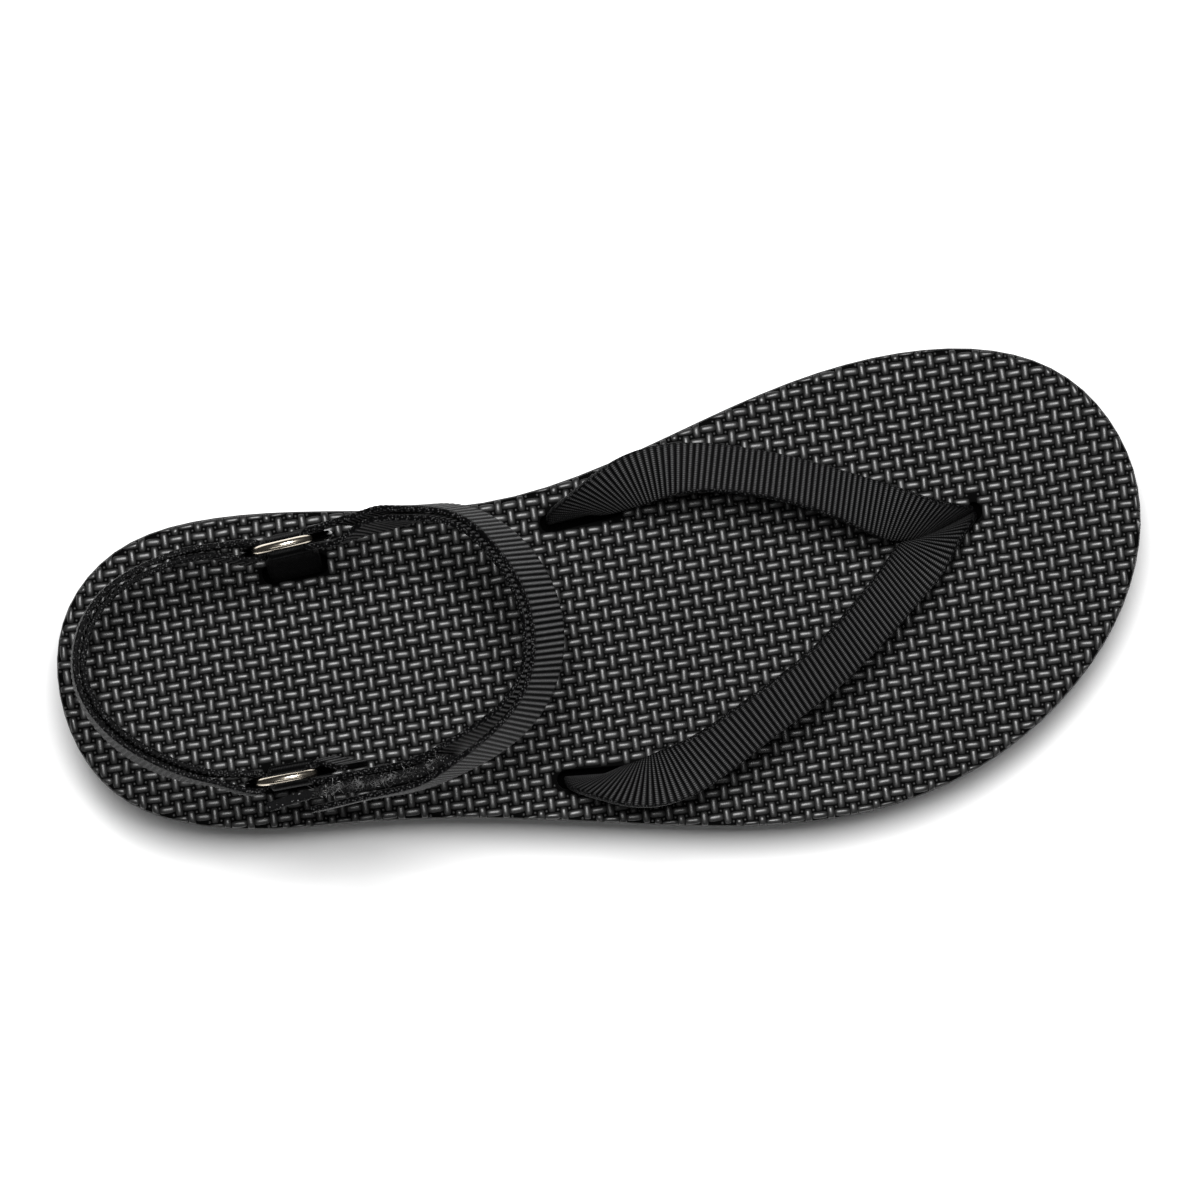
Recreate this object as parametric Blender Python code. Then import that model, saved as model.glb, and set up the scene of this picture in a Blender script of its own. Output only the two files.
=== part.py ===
"""Flatform thong sandal with an ankle strap, for the right foot.

Sizes are in millimetres until a mesh is made. +X runs to the toe, +Y to the medial side and +Z up.
The origin is on the floor under the middle of the sole. Heights h are above the footbed.
"""

import math

import bmesh
import bpy
import numpy as np

MM = 0.001
UP = np.array([0.0, 0.0, 1.0])

# Sole
SOLE_LENGTH = 260.0
OUTLINE_STATIONS = 52
FOOTBED_THICKNESS = 5.0
OUTSOLE_THICKNESS = 6.0
SEAT_GAP = 0.3
EDGE_ROUND = 1.1
MIDSOLE_TOP_INSET = 0.25
MIDSOLE_FOOT_INSET = 2.2
OUTSOLE_FOOT_INSET = 2.8
OUTSOLE_CHAMFER = 0.8

# Tread
GROOVE_WIDTH = 2.6
GROOVE_DEPTH = 2.2
GROOVE_WAVE = 3.0
GROOVE_WAVE_COUNT = 4
GROOVE_PITCH = 10.5
TREAD_ZONES = ((-119.0, -58.0), (12.0, 117.0))

# Webbing
STRAP_WIDTH = 12.7
STRAP_THICKNESS = 1.6
LAYER_GAP = 0.3
ROOT_DEPTH = FOOTBED_THICKNESS - 0.5
SLOT_WIDTH = 4.8
ANCHOR_SLOT_LENGTH = 16.4
ANCHOR_SLOT_WIDTH = 5.4
STATION_STEP = 5.0
ACROSS = np.linspace(-1.0, 1.0, 5)

# Rings
RING_RADIUS = 10.0
RING_WIRE = 1.0
RING_SEGMENTS = 36
RING_SIDES = 8
HUG_RADIUS = RING_WIRE + SEAT_GAP + STRAP_THICKNESS / 2
HUG_STEPS = 7
HUG_HALF_WIDTH = 5.2
FLATTEN_RUN = 13.0
CLOSE_RUN = 10.0
LEAD_RUN = 4.55

# Where each piece of webbing leaves a ring, in degrees from the forward direction
INSTEP_ANGLE = 22.0
HEEL_ANGLE = 168.0
ANCHOR_ANGLE = 270.0

# Fastening
SHORT_END = 8.0
TAB_THICKNESS = 2.2
TAPE_SIDE_MARGIN = 0.5
TAPE_ROWS = 3

# Outline of the footbed, from the back of the heel along the lateral side: place, x, y
OUTLINE = (
    ("heel_tip", -130.0, 9.0),
    ("heel_lateral_rear", -121.0, -16.3),
    ("heel_lateral", -103.0, -27.1),
    ("waist_lateral", -60.0, -33.9),
    ("mid_lateral", 0.0, -46.0),
    ("ball_lateral", 48.0, -53.1),
    ("ball_lateral_front", 80.0, -47.8),
    ("toe_lateral", 106.0, -33.1),
    ("toe_lateral_front", 124.0, -11.5),
    ("toe_tip", 130.0, 13.3),
    ("toe_medial", 118.0, 40.4),
    ("toe_medial_side", 76.0, 53.1),
    ("ball_medial", 40.0, 48.0),
    ("waist_medial", -20.0, 36.0),
    ("heel_medial_side", -88.0, 44.0),
    ("heel_medial", -112.0, 39.9),
    ("heel_medial_rear", -125.0, 28.2),
)

# Side view of the sole: x, top of the footbed, underside of the tread
PROFILE = (
    (-130.0, 45.0, 3.0),
    (-118.0, 44.4, 0.0),
    (-90.0, 43.8, 0.0),
    (-60.0, 42.6, 0.0),
    (-25.0, 40.6, 2.0),
    (10.0, 38.2, 0.0),
    (45.0, 36.4, 0.0),
    (75.0, 36.2, 0.0),
    (105.0, 37.8, 3.6),
    (130.0, 41.0, 9.5),
)

# Slots that the thong comes out of: place, x and y of the middle, heading, length
THONG_SLOTS = (
    ("medial", -1.0, 28.9, 3.0, 20.2),
    ("lateral", -8.1, -33.1, -6.0, 20.2),
    ("toe", 85.3, 10.9, 18.0, 16.4),
)

# Arms of the thong: place, x, y, h, then heading and rise of the line across to the outer edge
MEDIAL_ARM = (
    ("slot_floor", -3.2, 29.0, -ROOT_DEPTH, 183.0, 0.0),
    ("slot_mouth", -3.2, 29.2, 0.0, 183.0, 2.0),
    ("root", -2.0, 29.8, 7.0, 168.0, 24.0),
    ("rise", 2.6, 31.2, 14.5, 134.0, 44.0),
    ("shoulder", 10.4, 33.8, 22.0, 92.0, 30.0),
    ("upper", 22.8, 35.0, 28.5, 69.0, -14.0),
    ("middle", 41.7, 30.4, 31.0, 64.0, -34.0),
    ("fore", 54.8, 24.6, 29.0, 61.0, -33.0),
    ("toe_top", 68.3, 17.0, 22.5, 52.0, -14.0),
    ("roll", 77.0, 13.2, 14.5, 40.0, 22.0),
    ("post", 83.2, 11.9, 6.5, 25.0, 24.0),
    ("toe_mouth", 85.0, 11.6, 0.0, 18.0, 6.0),
    ("toe_floor", 85.1, 11.6, -ROOT_DEPTH, 18.0, 0.0),
)
LATERAL_ARM = (
    ("slot_floor", -10.2, -32.9, -ROOT_DEPTH, -186.0, 0.0),
    ("slot_mouth", -10.2, -33.1, 0.0, -186.0, 2.0),
    ("root", -9.0, -33.4, 7.0, -170.0, 24.0),
    ("rise", -4.6, -34.4, 14.5, -136.0, 44.0),
    ("shoulder", 2.6, -35.6, 21.5, -95.0, 30.0),
    ("upper", 14.0, -33.6, 28.5, -65.0, -12.0),
    ("middle", 31.2, -25.7, 32.5, -57.0, -32.0),
    ("fore", 46.8, -17.8, 32.0, -55.0, -33.0),
    ("toe_side", 62.4, -6.9, 26.5, -48.0, -28.0),
    ("toe_top", 73.6, 2.2, 18.0, -38.0, -12.0),
    ("roll", 80.2, 7.2, 10.5, -8.0, 24.0),
    ("post", 84.2, 9.5, 4.5, 10.0, 24.0),
    ("toe_mouth", 85.4, 10.2, 0.0, 17.0, 6.0),
    ("toe_floor", 85.5, 10.2, -ROOT_DEPTH, 18.0, 0.0),
)

# Rings: centre x, y, h, heading and outward lean, with the footbed slot of the anchor under each, x, y
RINGS = {
    "medial": {"centre": (-69.2, 34.1, 36.0), "heading": 2.5, "lean": 0.0, "slot": (-69.8, 29.1)},
    "lateral": {"centre": (-77.9, -18.8, 36.0), "heading": 0.0, "lean": 0.0, "slot": (-78.6, -19.6)},
}

# Instep strap from the lateral to the medial ring: place, x, y, h, inward lean, step out to the upper layer
INSTEP_STRAP = (
    ("lateral_side", -60.0, -20.9, 44.3, 2.0, 5.6),
    ("lateral_middle", -48.0, -20.6, 49.9, 6.0, 5.4),
    ("lateral_front", -36.5, -18.0, 55.1, 17.0, 4.4),
    ("lateral_corner", -25.2, -13.2, 60.0, 25.0, 3.0),
    ("front_lateral", -18.0, -5.7, 63.2, 29.0, 2.1),
    ("front", -15.0, 4.6, 64.7, 32.0, 2.1),
    ("front_medial", -15.6, 12.9, 64.0, 31.0, 2.1),
    ("medial_corner", -19.8, 23.0, 60.4, 26.0, 2.1),
    ("medial_front", -28.0, 31.6, 55.3, 12.0, 2.1),
    ("medial_side", -40.0, 34.7, 49.1, -3.0, 2.1),
    ("medial_ring_side", -51.0, 33.9, 43.7, -10.0, 2.5),
)

# Free end of the upper layer, past the table above: place, x, y, h, inward lean
INSTEP_TAIL = (("free_end", -72.0, -27.2, 39.0, 3.0),)

# Hook-and-loop tape past the two layers, with its pull tab: place, x, y, h, inward lean
TAPE_TAIL = (
    ("tape_end", -71.0, -23.4, 40.2, 2.0),
    ("tab_end", -83.2, -24.8, 37.4, 2.0),
)

# Heel strap from the medial to the lateral ring: place, x, y, h, inward lean
HEEL_STRAP = (
    ("medial_side", -88.5, 35.7, 39.2, -1.0),
    ("medial_rear", -101.0, 34.4, 40.4, 2.0),
    ("rear_medial_corner", -112.3, 29.6, 41.0, 4.0),
    ("rear_medial", -118.8, 21.9, 41.6, 6.0),
    ("rear", -121.2, 12.4, 41.5, 7.0),
    ("rear_lateral", -118.7, 2.6, 41.0, 9.0),
    ("lateral_rear", -110.9, -7.2, 40.1, 11.0),
    ("lateral_side", -100.6, -13.9, 38.9, 8.0),
)

# Finishes: colour, roughness, metallic
FINISHES = {
    "outsole": ((0.020, 0.020, 0.021, 1.0), 0.70, 0.0),
    "midsole": ((0.024, 0.024, 0.025, 1.0), 0.62, 0.0),
    "footbed": ((0.022, 0.022, 0.023, 1.0), 0.45, 0.0),
    "webbing": ((0.012, 0.012, 0.013, 1.0), 0.80, 0.0),
    "closure_tape": ((0.016, 0.016, 0.017, 1.0), 0.95, 0.0),
    "ring_metal": ((0.72, 0.66, 0.57, 1.0), 0.25, 1.0),
}


def unit(vectors):
    """Vectors scaled to length one along their last axis."""
    vectors = np.asarray(vectors, float)
    return vectors / np.linalg.norm(vectors, axis=-1, keepdims=True)


def ease(value):
    """A smooth step from 0 to 1 for values from 0 to 1."""
    value = np.clip(value, 0.0, 1.0)
    return value * value * (3.0 - 2.0 * value)


def spline(knots, values, at, closed=False):
    """Cubic curve through the values at the knots, natural or closed, read at other places."""
    knots = np.asarray(knots, float)
    values = np.asarray(values, float)
    count = len(knots)
    gaps = np.diff(knots)
    slopes = np.diff(values, axis=0) / gaps[:, None]
    matrix = np.zeros((count, count))
    right = np.zeros_like(values)
    for i in range(1, count - 1):
        matrix[i, i - 1 : i + 2] = gaps[i - 1], 2.0 * (gaps[i - 1] + gaps[i]), gaps[i]
        right[i] = 6.0 * (slopes[i] - slopes[i - 1])
    matrix[0, 0] = 1.0
    matrix[-1, -1] = 1.0
    if closed:
        matrix[0, -1] = -1.0
        matrix[-1, [0, 1, -2, -1]] = gaps[0] * 2.0, gaps[0], gaps[-1], gaps[-1] * 2.0
        right[-1] = 6.0 * (slopes[0] - slopes[-1])
    bends = np.linalg.solve(matrix, right)
    at = np.asarray(at, float)
    i = np.clip(np.searchsorted(knots, at) - 1, 0, count - 2)
    after = ((at - knots[i]) / gaps[i])[:, None]
    before = 1.0 - after
    square = (gaps[i] ** 2)[:, None] / 6.0
    lift = (before**3 - before) * bends[i] + (after**3 - after) * bends[i + 1]
    return before * values[i] + after * values[i + 1] + lift * square


def chord_knots(points):
    """Distances along the chords of a row of points."""
    steps = np.linalg.norm(np.diff(points, axis=0), axis=1)
    return np.concatenate([[0.0], np.cumsum(steps)])


def profile(x):
    """Height of the footbed's top and of the tread's underside at x."""
    table = np.array(PROFILE)
    heights = spline(table[:, 0], table[:, 1:], np.atleast_1d(x))
    return heights[:, 0], np.maximum(heights[:, 1], 0.0)


def footbed_top(x):
    """Height of the footbed's top at x."""
    return profile(x)[0]


def outline_loop():
    """The footbed's outline, counter-clockwise from the heel tip, and its outward directions."""
    points = np.array([row[1:] for row in OUTLINE + OUTLINE[:1]])
    knots = chord_knots(points)
    dense = spline(knots, points, np.linspace(0.0, knots[-1], 4001), closed=True)[:-1]
    dense[:, 0] -= (dense[:, 0].max() + dense[:, 0].min()) / 2
    dense[:, 1] -= (dense[:, 1].max() + dense[:, 1].min()) / 2
    dense[:, 0] *= SOLE_LENGTH / np.ptp(dense[:, 0])
    dense = np.roll(dense, -int(np.argmin(dense[:, 0])), axis=0)
    toe = int(np.argmax(dense[:, 0]))
    lateral = dense[: toe + 1]
    medial = np.concatenate([dense[toe:], dense[:1]])[::-1]
    turn = np.linspace(0.0, math.pi, OUTLINE_STATIONS + 1)
    x = -SOLE_LENGTH / 2 * np.cos(turn)
    lateral_y = np.interp(x, lateral[:, 0], lateral[:, 1])
    medial_y = np.interp(x, medial[:, 0], medial[:, 1])
    loop = np.concatenate([np.stack([x, lateral_y], 1), np.stack([x, medial_y], 1)[-2:0:-1]])
    tangent = np.roll(loop, -1, axis=0) - np.roll(loop, 1, axis=0)
    outward = unit(np.stack([tangent[:, 1], -tangent[:, 0]], 1))
    return loop, outward


def clear_scene():
    """Removes what a new file starts with."""
    for thing in list(bpy.data.objects):
        bpy.data.objects.remove(thing, do_unlink=True)


def finish(name):
    """The material of one finish, made once."""
    found = bpy.data.materials.get(name)
    if found:
        return found
    colour, roughness, metallic = FINISHES[name]
    material = bpy.data.materials.new(name)
    material.use_nodes = True
    shader = material.node_tree.nodes["Principled BSDF"]
    shader.inputs["Base Color"].default_value = colour
    shader.inputs["Roughness"].default_value = roughness
    shader.inputs["Metallic"].default_value = metallic
    return material


def solid(name, points, faces, material, smooth=True):
    """An object from points in millimetres and faces, with its normals turned out."""
    mesh = bpy.data.meshes.new(name)
    mesh.from_pydata([tuple(p) for p in np.asarray(points) * MM], [], [tuple(f) for f in faces])
    shape = bmesh.new()
    shape.from_mesh(mesh)
    bmesh.ops.recalc_face_normals(shape, faces=shape.faces)
    shape.to_mesh(mesh)
    shape.free()
    if smooth:
        mesh.shade_smooth()
        mesh.set_sharp_from_angle(angle=math.radians(35.0))
    mesh.materials.append(finish(material))
    thing = bpy.data.objects.new(name, mesh)
    bpy.context.collection.objects.link(thing)
    return thing


def boolean(thing, tool, operation):
    """Cuts a piece with a hidden tool, or joins the tool to it."""
    tool.hide_render = True
    tool.display_type = "WIRE"
    modifier = thing.modifiers.new(tool.name, "BOOLEAN")
    modifier.operation = operation
    modifier.solver = "EXACT"
    modifier.object = tool


def sole_layer(name, loops, material):
    """A solid stacked from outline loops, lowest first, each an inset and a function for its height."""
    outline, outward = outline_loop()
    count = len(outline)
    half = count // 2
    points = []
    faces = []
    for inset, height in loops:
        flat = outline - outward * inset
        points.extend(np.column_stack([flat, height(flat[:, 0])]))
    for level in range(len(loops) - 1):
        low = level * count
        for k in range(count):
            after = (k + 1) % count
            faces.append((low + k, low + after, low + count + after, low + count + k))
    for base in (0, (len(loops) - 1) * count):
        faces.append((base, base + 1, base + count - 1))
        faces.append((base + half - 1, base + half, base + half + 1))
        for k in range(1, half - 1):
            faces.append((base + k, base + k + 1, base + count - k - 1, base + count - k))
    return solid(name, points, faces, material)


def above_tread(lift):
    """A height function at a distance above the tread's underside."""
    return lambda x: profile(x)[1] + lift


def below_top(drop):
    """A height function at a distance under the footbed's top."""
    return lambda x: profile(x)[0] - drop


def prism(name, outline, low, high, material):
    """A straight prism on an outline of points."""
    count = len(outline)
    points = [(*p, low) for p in outline] + [(*p, high) for p in outline]
    faces = [tuple(range(count)), tuple(range(count, 2 * count))]
    faces += [(k, (k + 1) % count, count + (k + 1) % count, count + k) for k in range(count)]
    return solid(name, points, faces, material, smooth=False)


def slot_outline(x, y, heading, length, width):
    """A slot with round ends."""
    along = np.array([math.cos(math.radians(heading)), math.sin(math.radians(heading))])
    side = np.array([-along[1], along[0]])
    radius = width / 2
    reach = length / 2 - radius
    points = []
    for end, start in ((1.0, -90.0), (-1.0, 90.0)):
        for angle in np.radians(np.linspace(start, start + 180.0, 7)):
            local = along * (end * reach + radius * math.cos(angle)) + side * radius * math.sin(angle)
            points.append(np.array([x, y]) + local)
    return points


def add_outsole():
    """The tread layer, with wavy grooves across the heel and the forefoot."""
    loops = (
        (OUTSOLE_FOOT_INSET + OUTSOLE_CHAMFER, above_tread(0.0)),
        (OUTSOLE_FOOT_INSET, above_tread(OUTSOLE_CHAMFER)),
        (MIDSOLE_FOOT_INSET, above_tread(OUTSOLE_THICKNESS)),
    )
    outsole = sole_layer("outsole", loops, "outsole")
    reach = np.linspace(-62.0, 62.0, 4 * GROOVE_WAVE_COUNT + 1)
    wave = GROOVE_WAVE * np.sin(np.linspace(0.0, 2.0 * math.pi * GROOVE_WAVE_COUNT, len(reach)))
    for start, stop in TREAD_ZONES:
        for x in np.arange(start, stop, GROOVE_PITCH):
            front = np.column_stack([x + GROOVE_WIDTH / 2 + wave, reach])
            back = np.column_stack([x - GROOVE_WIDTH / 2 + wave, reach])[::-1]
            roof = float(profile(x)[1][0]) + GROOVE_DEPTH
            groove = prism(f"groove_{x:.0f}", np.concatenate([front, back]), -5.0, roof, "outsole")
            boolean(outsole, groove, "DIFFERENCE")


def add_midsole():
    """The thick foam platform."""
    loops = (
        (MIDSOLE_FOOT_INSET, above_tread(OUTSOLE_THICKNESS + SEAT_GAP)),
        (MIDSOLE_TOP_INSET, below_top(FOOTBED_THICKNESS + SEAT_GAP)),
    )
    sole_layer("midsole", loops, "midsole")


def add_footbed(rings):
    """The top sheet, rounded at its rim and slotted for the webbing."""
    shoulder = EDGE_ROUND * (1.0 - math.sqrt(0.5))
    loops = (
        (MIDSOLE_TOP_INSET, below_top(FOOTBED_THICKNESS)),
        (0.0, below_top(EDGE_ROUND)),
        (shoulder, below_top(shoulder)),
        (EDGE_ROUND, below_top(0.0)),
    )
    footbed = sole_layer("footbed", loops, "footbed")
    slots = [(*row, SLOT_WIDTH) for row in THONG_SLOTS]
    for side, ring in rings.items():
        x, y, _ = ring.slot - ring.rise * FOOTBED_THICKNESS / 2
        slots.append((f"{side}_anchor", x, y, ring.heading, ANCHOR_SLOT_LENGTH, ANCHOR_SLOT_WIDTH))
    for name, x, y, heading, length, width in slots:
        cutter = prism(f"{name}_slot", slot_outline(x, y, heading, length, width), 20.0, 60.0, "footbed")
        boolean(footbed, cutter, "DIFFERENCE")


def ribbon(name, grid, thickness, material, closed=False):
    """A band of webbing about a middle surface, given as rows of points across the band."""
    grid = np.asarray(grid, float)
    rows, across = grid.shape[:2]
    padded = np.concatenate([grid[-1:], grid, grid[:1]]) if closed else grid
    along = np.gradient(padded, axis=0)
    along = along[1:-1] if closed else along
    side = np.gradient(grid, axis=1)
    normal = unit(np.cross(along, side))
    half = np.broadcast_to(np.asarray(thickness, float) / 2, rows)[:, None, None]
    points = np.concatenate([(grid + normal * half).reshape(-1, 3), (grid - normal * half).reshape(-1, 3)])
    other = rows * across
    faces = []
    last = rows if closed else rows - 1
    for i in range(last):
        here = i * across
        there = (i + 1) % rows * across
        for j in range(across - 1):
            faces.append((here + j, here + j + 1, there + j + 1, there + j))
            faces.append((other + here + j, other + there + j, other + there + j + 1, other + here + j + 1))
        for j in (0, across - 1):
            faces.append((here + j, there + j, other + there + j, other + here + j))
    if not closed:
        for i in (0, rows - 1):
            for j in range(across - 1):
                k = i * across + j
                faces.append((k, k + 1, other + k + 1, other + k))
    return solid(name, points, faces, material)


def stations(points, step):
    """Knots along a row of points and evenly spaced places to read them at."""
    knots = chord_knots(points)
    return knots, np.linspace(0.0, knots[-1], max(3, round(knots[-1] / step) + 1))


def thong_arm(name, rows):
    """One arm of the thong, from its slot to the toe slot."""
    table = np.array([row[1:] for row in rows])
    middle = np.column_stack([table[:, :2], footbed_top(table[:, 0]) + table[:, 2]])
    heading, rise = np.radians(table[:, 3:].T)
    outer = np.column_stack([np.cos(rise) * np.cos(heading), np.cos(rise) * np.sin(heading), np.sin(rise)])
    knots, places = stations(middle, STATION_STEP * 0.8)
    centre = spline(knots, middle, places)
    tangent = unit(np.gradient(centre, axis=0))
    outer = spline(knots, outer, places)
    outer = unit(outer - tangent * np.sum(outer * tangent, axis=1, keepdims=True))
    reach = np.linspace(-STRAP_WIDTH / 2, STRAP_WIDTH / 2, 3)
    grid = centre[:, None] + outer[:, None] * reach[None, :, None]
    return ribbon(name, grid, STRAP_THICKNESS, "webbing")


def add_thong_strap():
    """The V of webbing, its two arms joined at the toe post."""
    thong = thong_arm("thong_strap", MEDIAL_ARM)
    boolean(thong, thong_arm("thong_lateral_arm", LATERAL_ARM), "UNION")


class Ring:
    """A wire ring over its anchor's slot, with its own forward, upward and outward directions."""

    def __init__(self, side):
        row = RINGS[side]
        x, y, h = row["centre"]
        slot_x, slot_y = row["slot"]
        self.side = side
        self.centre = np.array([x, y, footbed_top(x)[0] + h])
        self.slot = np.array([slot_x, slot_y, footbed_top(slot_x)[0]])
        self.heading = row["heading"]
        self.lean = -row["lean"]
        heading = math.radians(self.heading)
        lean = math.radians(row["lean"])
        self.forward = np.array([math.cos(heading), math.sin(heading), 0.0])
        level = np.cross(UP, self.forward) * math.copysign(1.0, y)
        self.up = UP * math.cos(lean) + level * math.sin(lean)
        self.outward = level * math.cos(lean) - UP * math.sin(lean)
        self.base = self.centre - self.up * RING_RADIUS
        self.rise = unit(self.base - self.slot)

    def spoke(self, angle):
        """The direction from the centre at an angle, and the direction a quarter turn on."""
        turn = math.radians(angle)
        away = self.forward * math.cos(turn) + self.up * math.sin(turn)
        across = self.up * math.cos(turn) - self.forward * math.sin(turn)
        return away, across

    def exit(self, angle, side):
        """Where webbing leaves the wire, outside the ring's plane for side 1 and inside it for -1."""
        return self.centre + self.spoke(angle)[0] * RING_RADIUS + self.outward * HUG_RADIUS * side

    def tilt(self, angle, heading, first_side):
        """How far webbing that leaves the wire along a heading is turned out of the ring's plane."""
        return math.atan2(heading @ self.outward * first_side, heading @ self.spoke(angle)[0])

    def hug(self, angle, flip, first_side, tilt=0.0):
        """Rows of webbing folded round the wire through the ring, from one side of it to the other."""
        away, across = self.spoke(angle)
        reach = HUG_HALF_WIDTH * ACROSS * flip
        rows = []
        for turn in np.linspace(math.pi / 2, 3 * math.pi / 2, HUG_STEPS) + tilt:
            radial = np.sqrt((RING_RADIUS + HUG_RADIUS * math.cos(turn)) ** 2 - reach**2)
            out = HUG_RADIUS * math.sin(turn) * first_side
            rows.append(self.centre + away * radial[:, None] + across * reach[:, None] + self.outward * out)
        return np.array(rows)


def cupped(centre, wide, reach_from_ring, ringward):
    """Rows across a band that is cupped and narrow at a ring and flattens away from it."""
    loose = ease(reach_from_ring / FLATTEN_RUN)
    half = HUG_HALF_WIDTH + (STRAP_WIDTH / 2 - HUG_HALF_WIDTH) * loose
    reach = half[:, None] * ACROSS[None, :]
    dip = (RING_RADIUS - np.sqrt(RING_RADIUS**2 - reach**2)) * (1.0 - loose)[:, None]
    return centre[:, None] + wide[:, None] * reach[..., None] + ringward[:, None] * dip[..., None]


class Run:
    """A strap's middle line with its tangent, its upward width direction and its outward direction."""

    def __init__(self, points, leans, step=STATION_STEP):
        points = np.asarray(points, float)
        self.knots, self.places = stations(points, step)
        self.centre = spline(self.knots, points, self.places)
        self.tangent = unit(np.gradient(self.centre, axis=0))
        self.leans = spline(self.knots, np.reshape(leans, (-1, 1)), self.places)[:, 0]
        lean = np.radians(self.leans)[:, None]
        inward = unit(np.cross(UP, self.tangent))
        rise = unit(UP - self.tangent * self.tangent[:, 2:])
        self.wide = rise * np.cos(lean) + inward * np.sin(lean)
        self.outward = np.cross(self.tangent, self.wide)

    def beside(self, first, last, steps):
        """Points, leans and steps at a changing step outward, from one knot to another."""
        chosen = (self.places >= self.knots[first]) & (self.places <= self.knots[last])
        step = np.interp(self.places[chosen], self.knots[first : last + 1], steps)
        return self.centre[chosen] + self.outward[chosen] * step[:, None], self.leans[chosen], step


def on_footbed(rows):
    """Points of a table whose heights are above the footbed."""
    table = np.array([row[1:4] for row in rows])
    return np.column_stack([table[:, :2], footbed_top(table[:, 0]) + table[:, 2]])


def joined_run(first, first_angle, last, last_angle, rows, first_side, last_side):
    """A run between two rings through a table's rows, leaving each ring straight along its spoke."""
    start = first.exit(first_angle, first_side)
    end = last.exit(last_angle, last_side)
    start_lead = start + first.spoke(first_angle)[0] * LEAD_RUN
    end_lead = end + last.spoke(last_angle)[0] * LEAD_RUN
    points = np.concatenate([[start, start_lead], on_footbed(rows), [end_lead, end]])
    leans = [first.lean] * 2 + [row[4] for row in rows] + [last.lean] * 2
    return points, leans


def ring_distance(run):
    """How far each station is from the nearer end of the run, and which way that ring lies."""
    from_start = run.places
    from_end = run.places[-1] - run.places
    toward = np.where(from_start < from_end, -1.0, 1.0)
    return np.minimum(from_start, from_end), toward


def add_heel_strap(rings):
    """Two layers of webbing round the heel, looped through both rings."""
    medial, lateral = rings["medial"], rings["lateral"]
    ends = np.array([medial.exit(HEEL_ANGLE, 0.0), lateral.exit(HEEL_ANGLE, 0.0)])
    points = np.concatenate([ends[:1], on_footbed(HEEL_STRAP), ends[1:]])
    leans = [medial.lean] + [row[4] for row in HEEL_STRAP] + [lateral.lean]
    run = Run(points, leans)
    distance, toward = ring_distance(run)
    behind = toward[:, None] < 0.0
    directions = zip(medial.spoke(HEEL_ANGLE), lateral.spoke(HEEL_ANGLE))
    spokes, across = (np.where(behind, *pair) for pair in directions)
    flat_step = (STRAP_THICKNESS + LAYER_GAP) / 2
    step = HUG_RADIUS + (flat_step - HUG_RADIUS) * ease(distance / CLOSE_RUN)
    loose = ease(distance / FLATTEN_RUN)[:, None]
    wide = unit(run.wide * loose - across * (1.0 - loose))
    outward = unit(np.cross(run.tangent, wide))
    layers = {}
    for side in (1.0, -1.0):
        centre = run.centre + outward * (step * side)[:, None]
        layers[side] = cupped(centre, wide, distance, -spokes)
    at_lateral = lateral.hug(HEEL_ANGLE, -1.0, 1.0, lateral.tilt(HEEL_ANGLE, -run.tangent[-1], 1.0))
    at_medial = medial.hug(HEEL_ANGLE, -1.0, -1.0, medial.tilt(HEEL_ANGLE, run.tangent[0], -1.0))
    grid = np.concatenate([layers[1.0], at_lateral[1:-1], layers[-1.0][::-1], at_medial[1:-1]])
    ribbon("heel_strap", grid, STRAP_THICKNESS, "webbing", closed=True)


def instep_runs(rings):
    """The lower layer over the instep and the upper layer with its free end."""
    medial, lateral = rings["medial"], rings["lateral"]
    points, leans = joined_run(lateral, INSTEP_ANGLE, medial, INSTEP_ANGLE, INSTEP_STRAP, 1.0, -1.0)
    lower = Run(points, leans)
    start = medial.exit(INSTEP_ANGLE, 1.0)
    steps = [row[5] for row in INSTEP_STRAP]
    beside, beside_leans, _ = lower.beside(2, len(INSTEP_STRAP) + 1, steps)
    ends = [start + medial.spoke(INSTEP_ANGLE)[0] * LEAD_RUN, start]
    upper_points = np.concatenate([on_footbed(INSTEP_TAIL), beside, ends])
    upper_leans = [row[4] for row in INSTEP_TAIL] + list(beside_leans) + [medial.lean] * 2
    upper = Run(upper_points, upper_leans)
    return lower, upper


def add_instep_strap(rings):
    """One length of webbing from the lateral ring, through the medial ring and back over itself."""
    medial, lateral = rings["medial"], rings["lateral"]
    lower, upper = instep_runs(rings)
    distance, toward = ring_distance(lower)
    ringward = lower.tangent * toward[:, None]
    under = cupped(lower.centre, lower.wide, distance, ringward)

    short = lower.places <= SHORT_END + STATION_STEP / 2
    closing = ease(lower.places[short] / SHORT_END)
    step = 2 * HUG_RADIUS + (STRAP_THICKNESS + LAYER_GAP - 2 * HUG_RADIUS) * closing
    inner = lower.centre[short] - lower.outward[short] * step[:, None]
    folded = cupped(inner, lower.wide[short], distance[short], ringward[short])

    from_ring = upper.places[-1] - upper.places
    over = cupped(upper.centre, upper.wide, from_ring, upper.tangent)

    at_lateral = lateral.hug(INSTEP_ANGLE, 1.0, -1.0)
    at_medial = medial.hug(INSTEP_ANGLE, 1.0, -1.0)
    grid = np.concatenate([folded[::-1], at_lateral[1:-1], under, at_medial[1:-1], over[::-1]])
    ribbon("instep_strap", grid, STRAP_THICKNESS, "webbing")


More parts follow.
